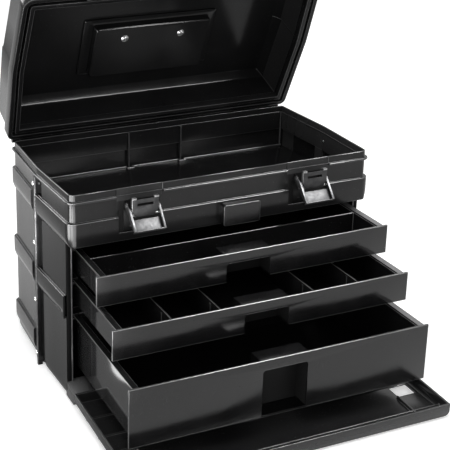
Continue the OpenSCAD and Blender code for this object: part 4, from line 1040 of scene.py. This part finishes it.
def world():
    """Even white light, with a background that only the camera and mirrored rays see."""
    w = bpy.data.worlds.new("studio")
    bpy.context.scene.world = w
    w.use_nodes = True
    nt = w.node_tree
    nt.nodes.clear()
    out = nt.nodes.new("ShaderNodeOutputWorld")
    lit, seen = nt.nodes.new("ShaderNodeBackground"), nt.nodes.new("ShaderNodeBackground")
    lit.inputs[0].default_value = (1, 1, 1, 1)
    lit.inputs[1].default_value = 0.6
    path = nt.nodes.new("ShaderNodeLightPath")
    # reflections see the white background behind the box and the dim room in front of it
    place, split = nt.nodes.new("ShaderNodeTexCoord"), nt.nodes.new("ShaderNodeSeparateXYZ")
    nt.links.new(place.outputs["Generated"], split.inputs[0])
    behind = remap(nt, split.outputs["Y"], 0.07, 1.0, -0.25, 0.3)
    nt.links.new(math_node(nt, "MAXIMUM", behind, path.outputs["Is Camera Ray"]), seen.inputs[1])
    seen.inputs[0].default_value = (1, 1, 1, 1)
    both = math_node(nt, "MAXIMUM", path.outputs["Is Camera Ray"],
                     math_node(nt, "MAXIMUM", path.outputs["Is Glossy Ray"], path.outputs["Is Transmission Ray"]))
    mix = nt.nodes.new("ShaderNodeMixShader")
    nt.links.new(both, mix.inputs[0])
    nt.links.new(lit.outputs[0], mix.inputs[1])
    nt.links.new(seen.outputs[0], mix.inputs[2])
    nt.links.new(mix.outputs[0], out.inputs[0])


PHOTO, FOCAL, SENSOR = 450, 1109.2, 36.0     # the photo's width and focal length in pixels, the film's in mm
AXIS_X, AXIS_Y = 78.5, 103.6                 # the pixel that the view's axis goes through
CAMERA_AT = (-0.7590, -1.4948, 0.9332)
AZIMUTH, DOWN, ROLL = 20.97, 17.45, -0.51


def camera():
    """The camera of the photograph, solved from points of the box."""
    az, down, roll = math.radians(AZIMUTH), math.radians(DOWN), math.radians(ROLL)
    look = Vector((math.sin(az) * math.cos(down), math.cos(az) * math.cos(down), -math.sin(down)))
    right = Vector((math.cos(az), -math.sin(az), 0))
    up = right.cross(look)
    r = right * math.cos(roll) + up * math.sin(roll)
    u = up * math.cos(roll) - right * math.sin(roll)
    cam = bpy.data.cameras.new("camera")
    cam.sensor_width = SENSOR
    cam.lens = FOCAL / PHOTO * SENSOR
    cam.shift_x, cam.shift_y = (PHOTO / 2 - AXIS_X) / PHOTO, (AXIS_Y - PHOTO / 2) / PHOTO
    cam.clip_start, cam.clip_end = 0.05, 100
    ob = add_object("camera", cam)
    m = Matrix((r, u, -look)).transposed().to_4x4()
    m.translation = Vector(CAMERA_AT)
    ob.matrix_world = m
    bpy.context.scene.camera = ob


stage_floor()
world()
area_light("top", (-0.3, -0.3, 2.4), (0.0, 0, 0.3), 1.6, 1.6, 22)
area_light("edge_top", (1.0, -1.2, 1.9), (0.0, -0.1, 0.3), 1.2, 0.8, 95, sheen_only=True)
for name, x, y, power in (("edge_front", -0.36, -0.60, 2.2), ("edge_corner", -0.60, -0.48, 4.6),
                          ("edge_left", -0.71, -0.20, 5.0)):
    area_light(name, (x, y, 0.15), (-0.25, -0.13, 0.15), 0.27, 0.29, power, sheen_only=True)
area_light("edge_rear", (-1.0, 1.5, 1.15), (-0.2, 0.0, 0.25), 0.9, 0.7, 20, sheen_only=True)
area_light("side_patch", (-0.2885, -0.14, 0.044), (-0.2885, -0.1399, 0.3), 0.04, 0.08, 0.04,
           sheen_only=True, shape="ELLIPSE")
camera()
bpy.context.scene.view_settings.view_transform = "Standard"
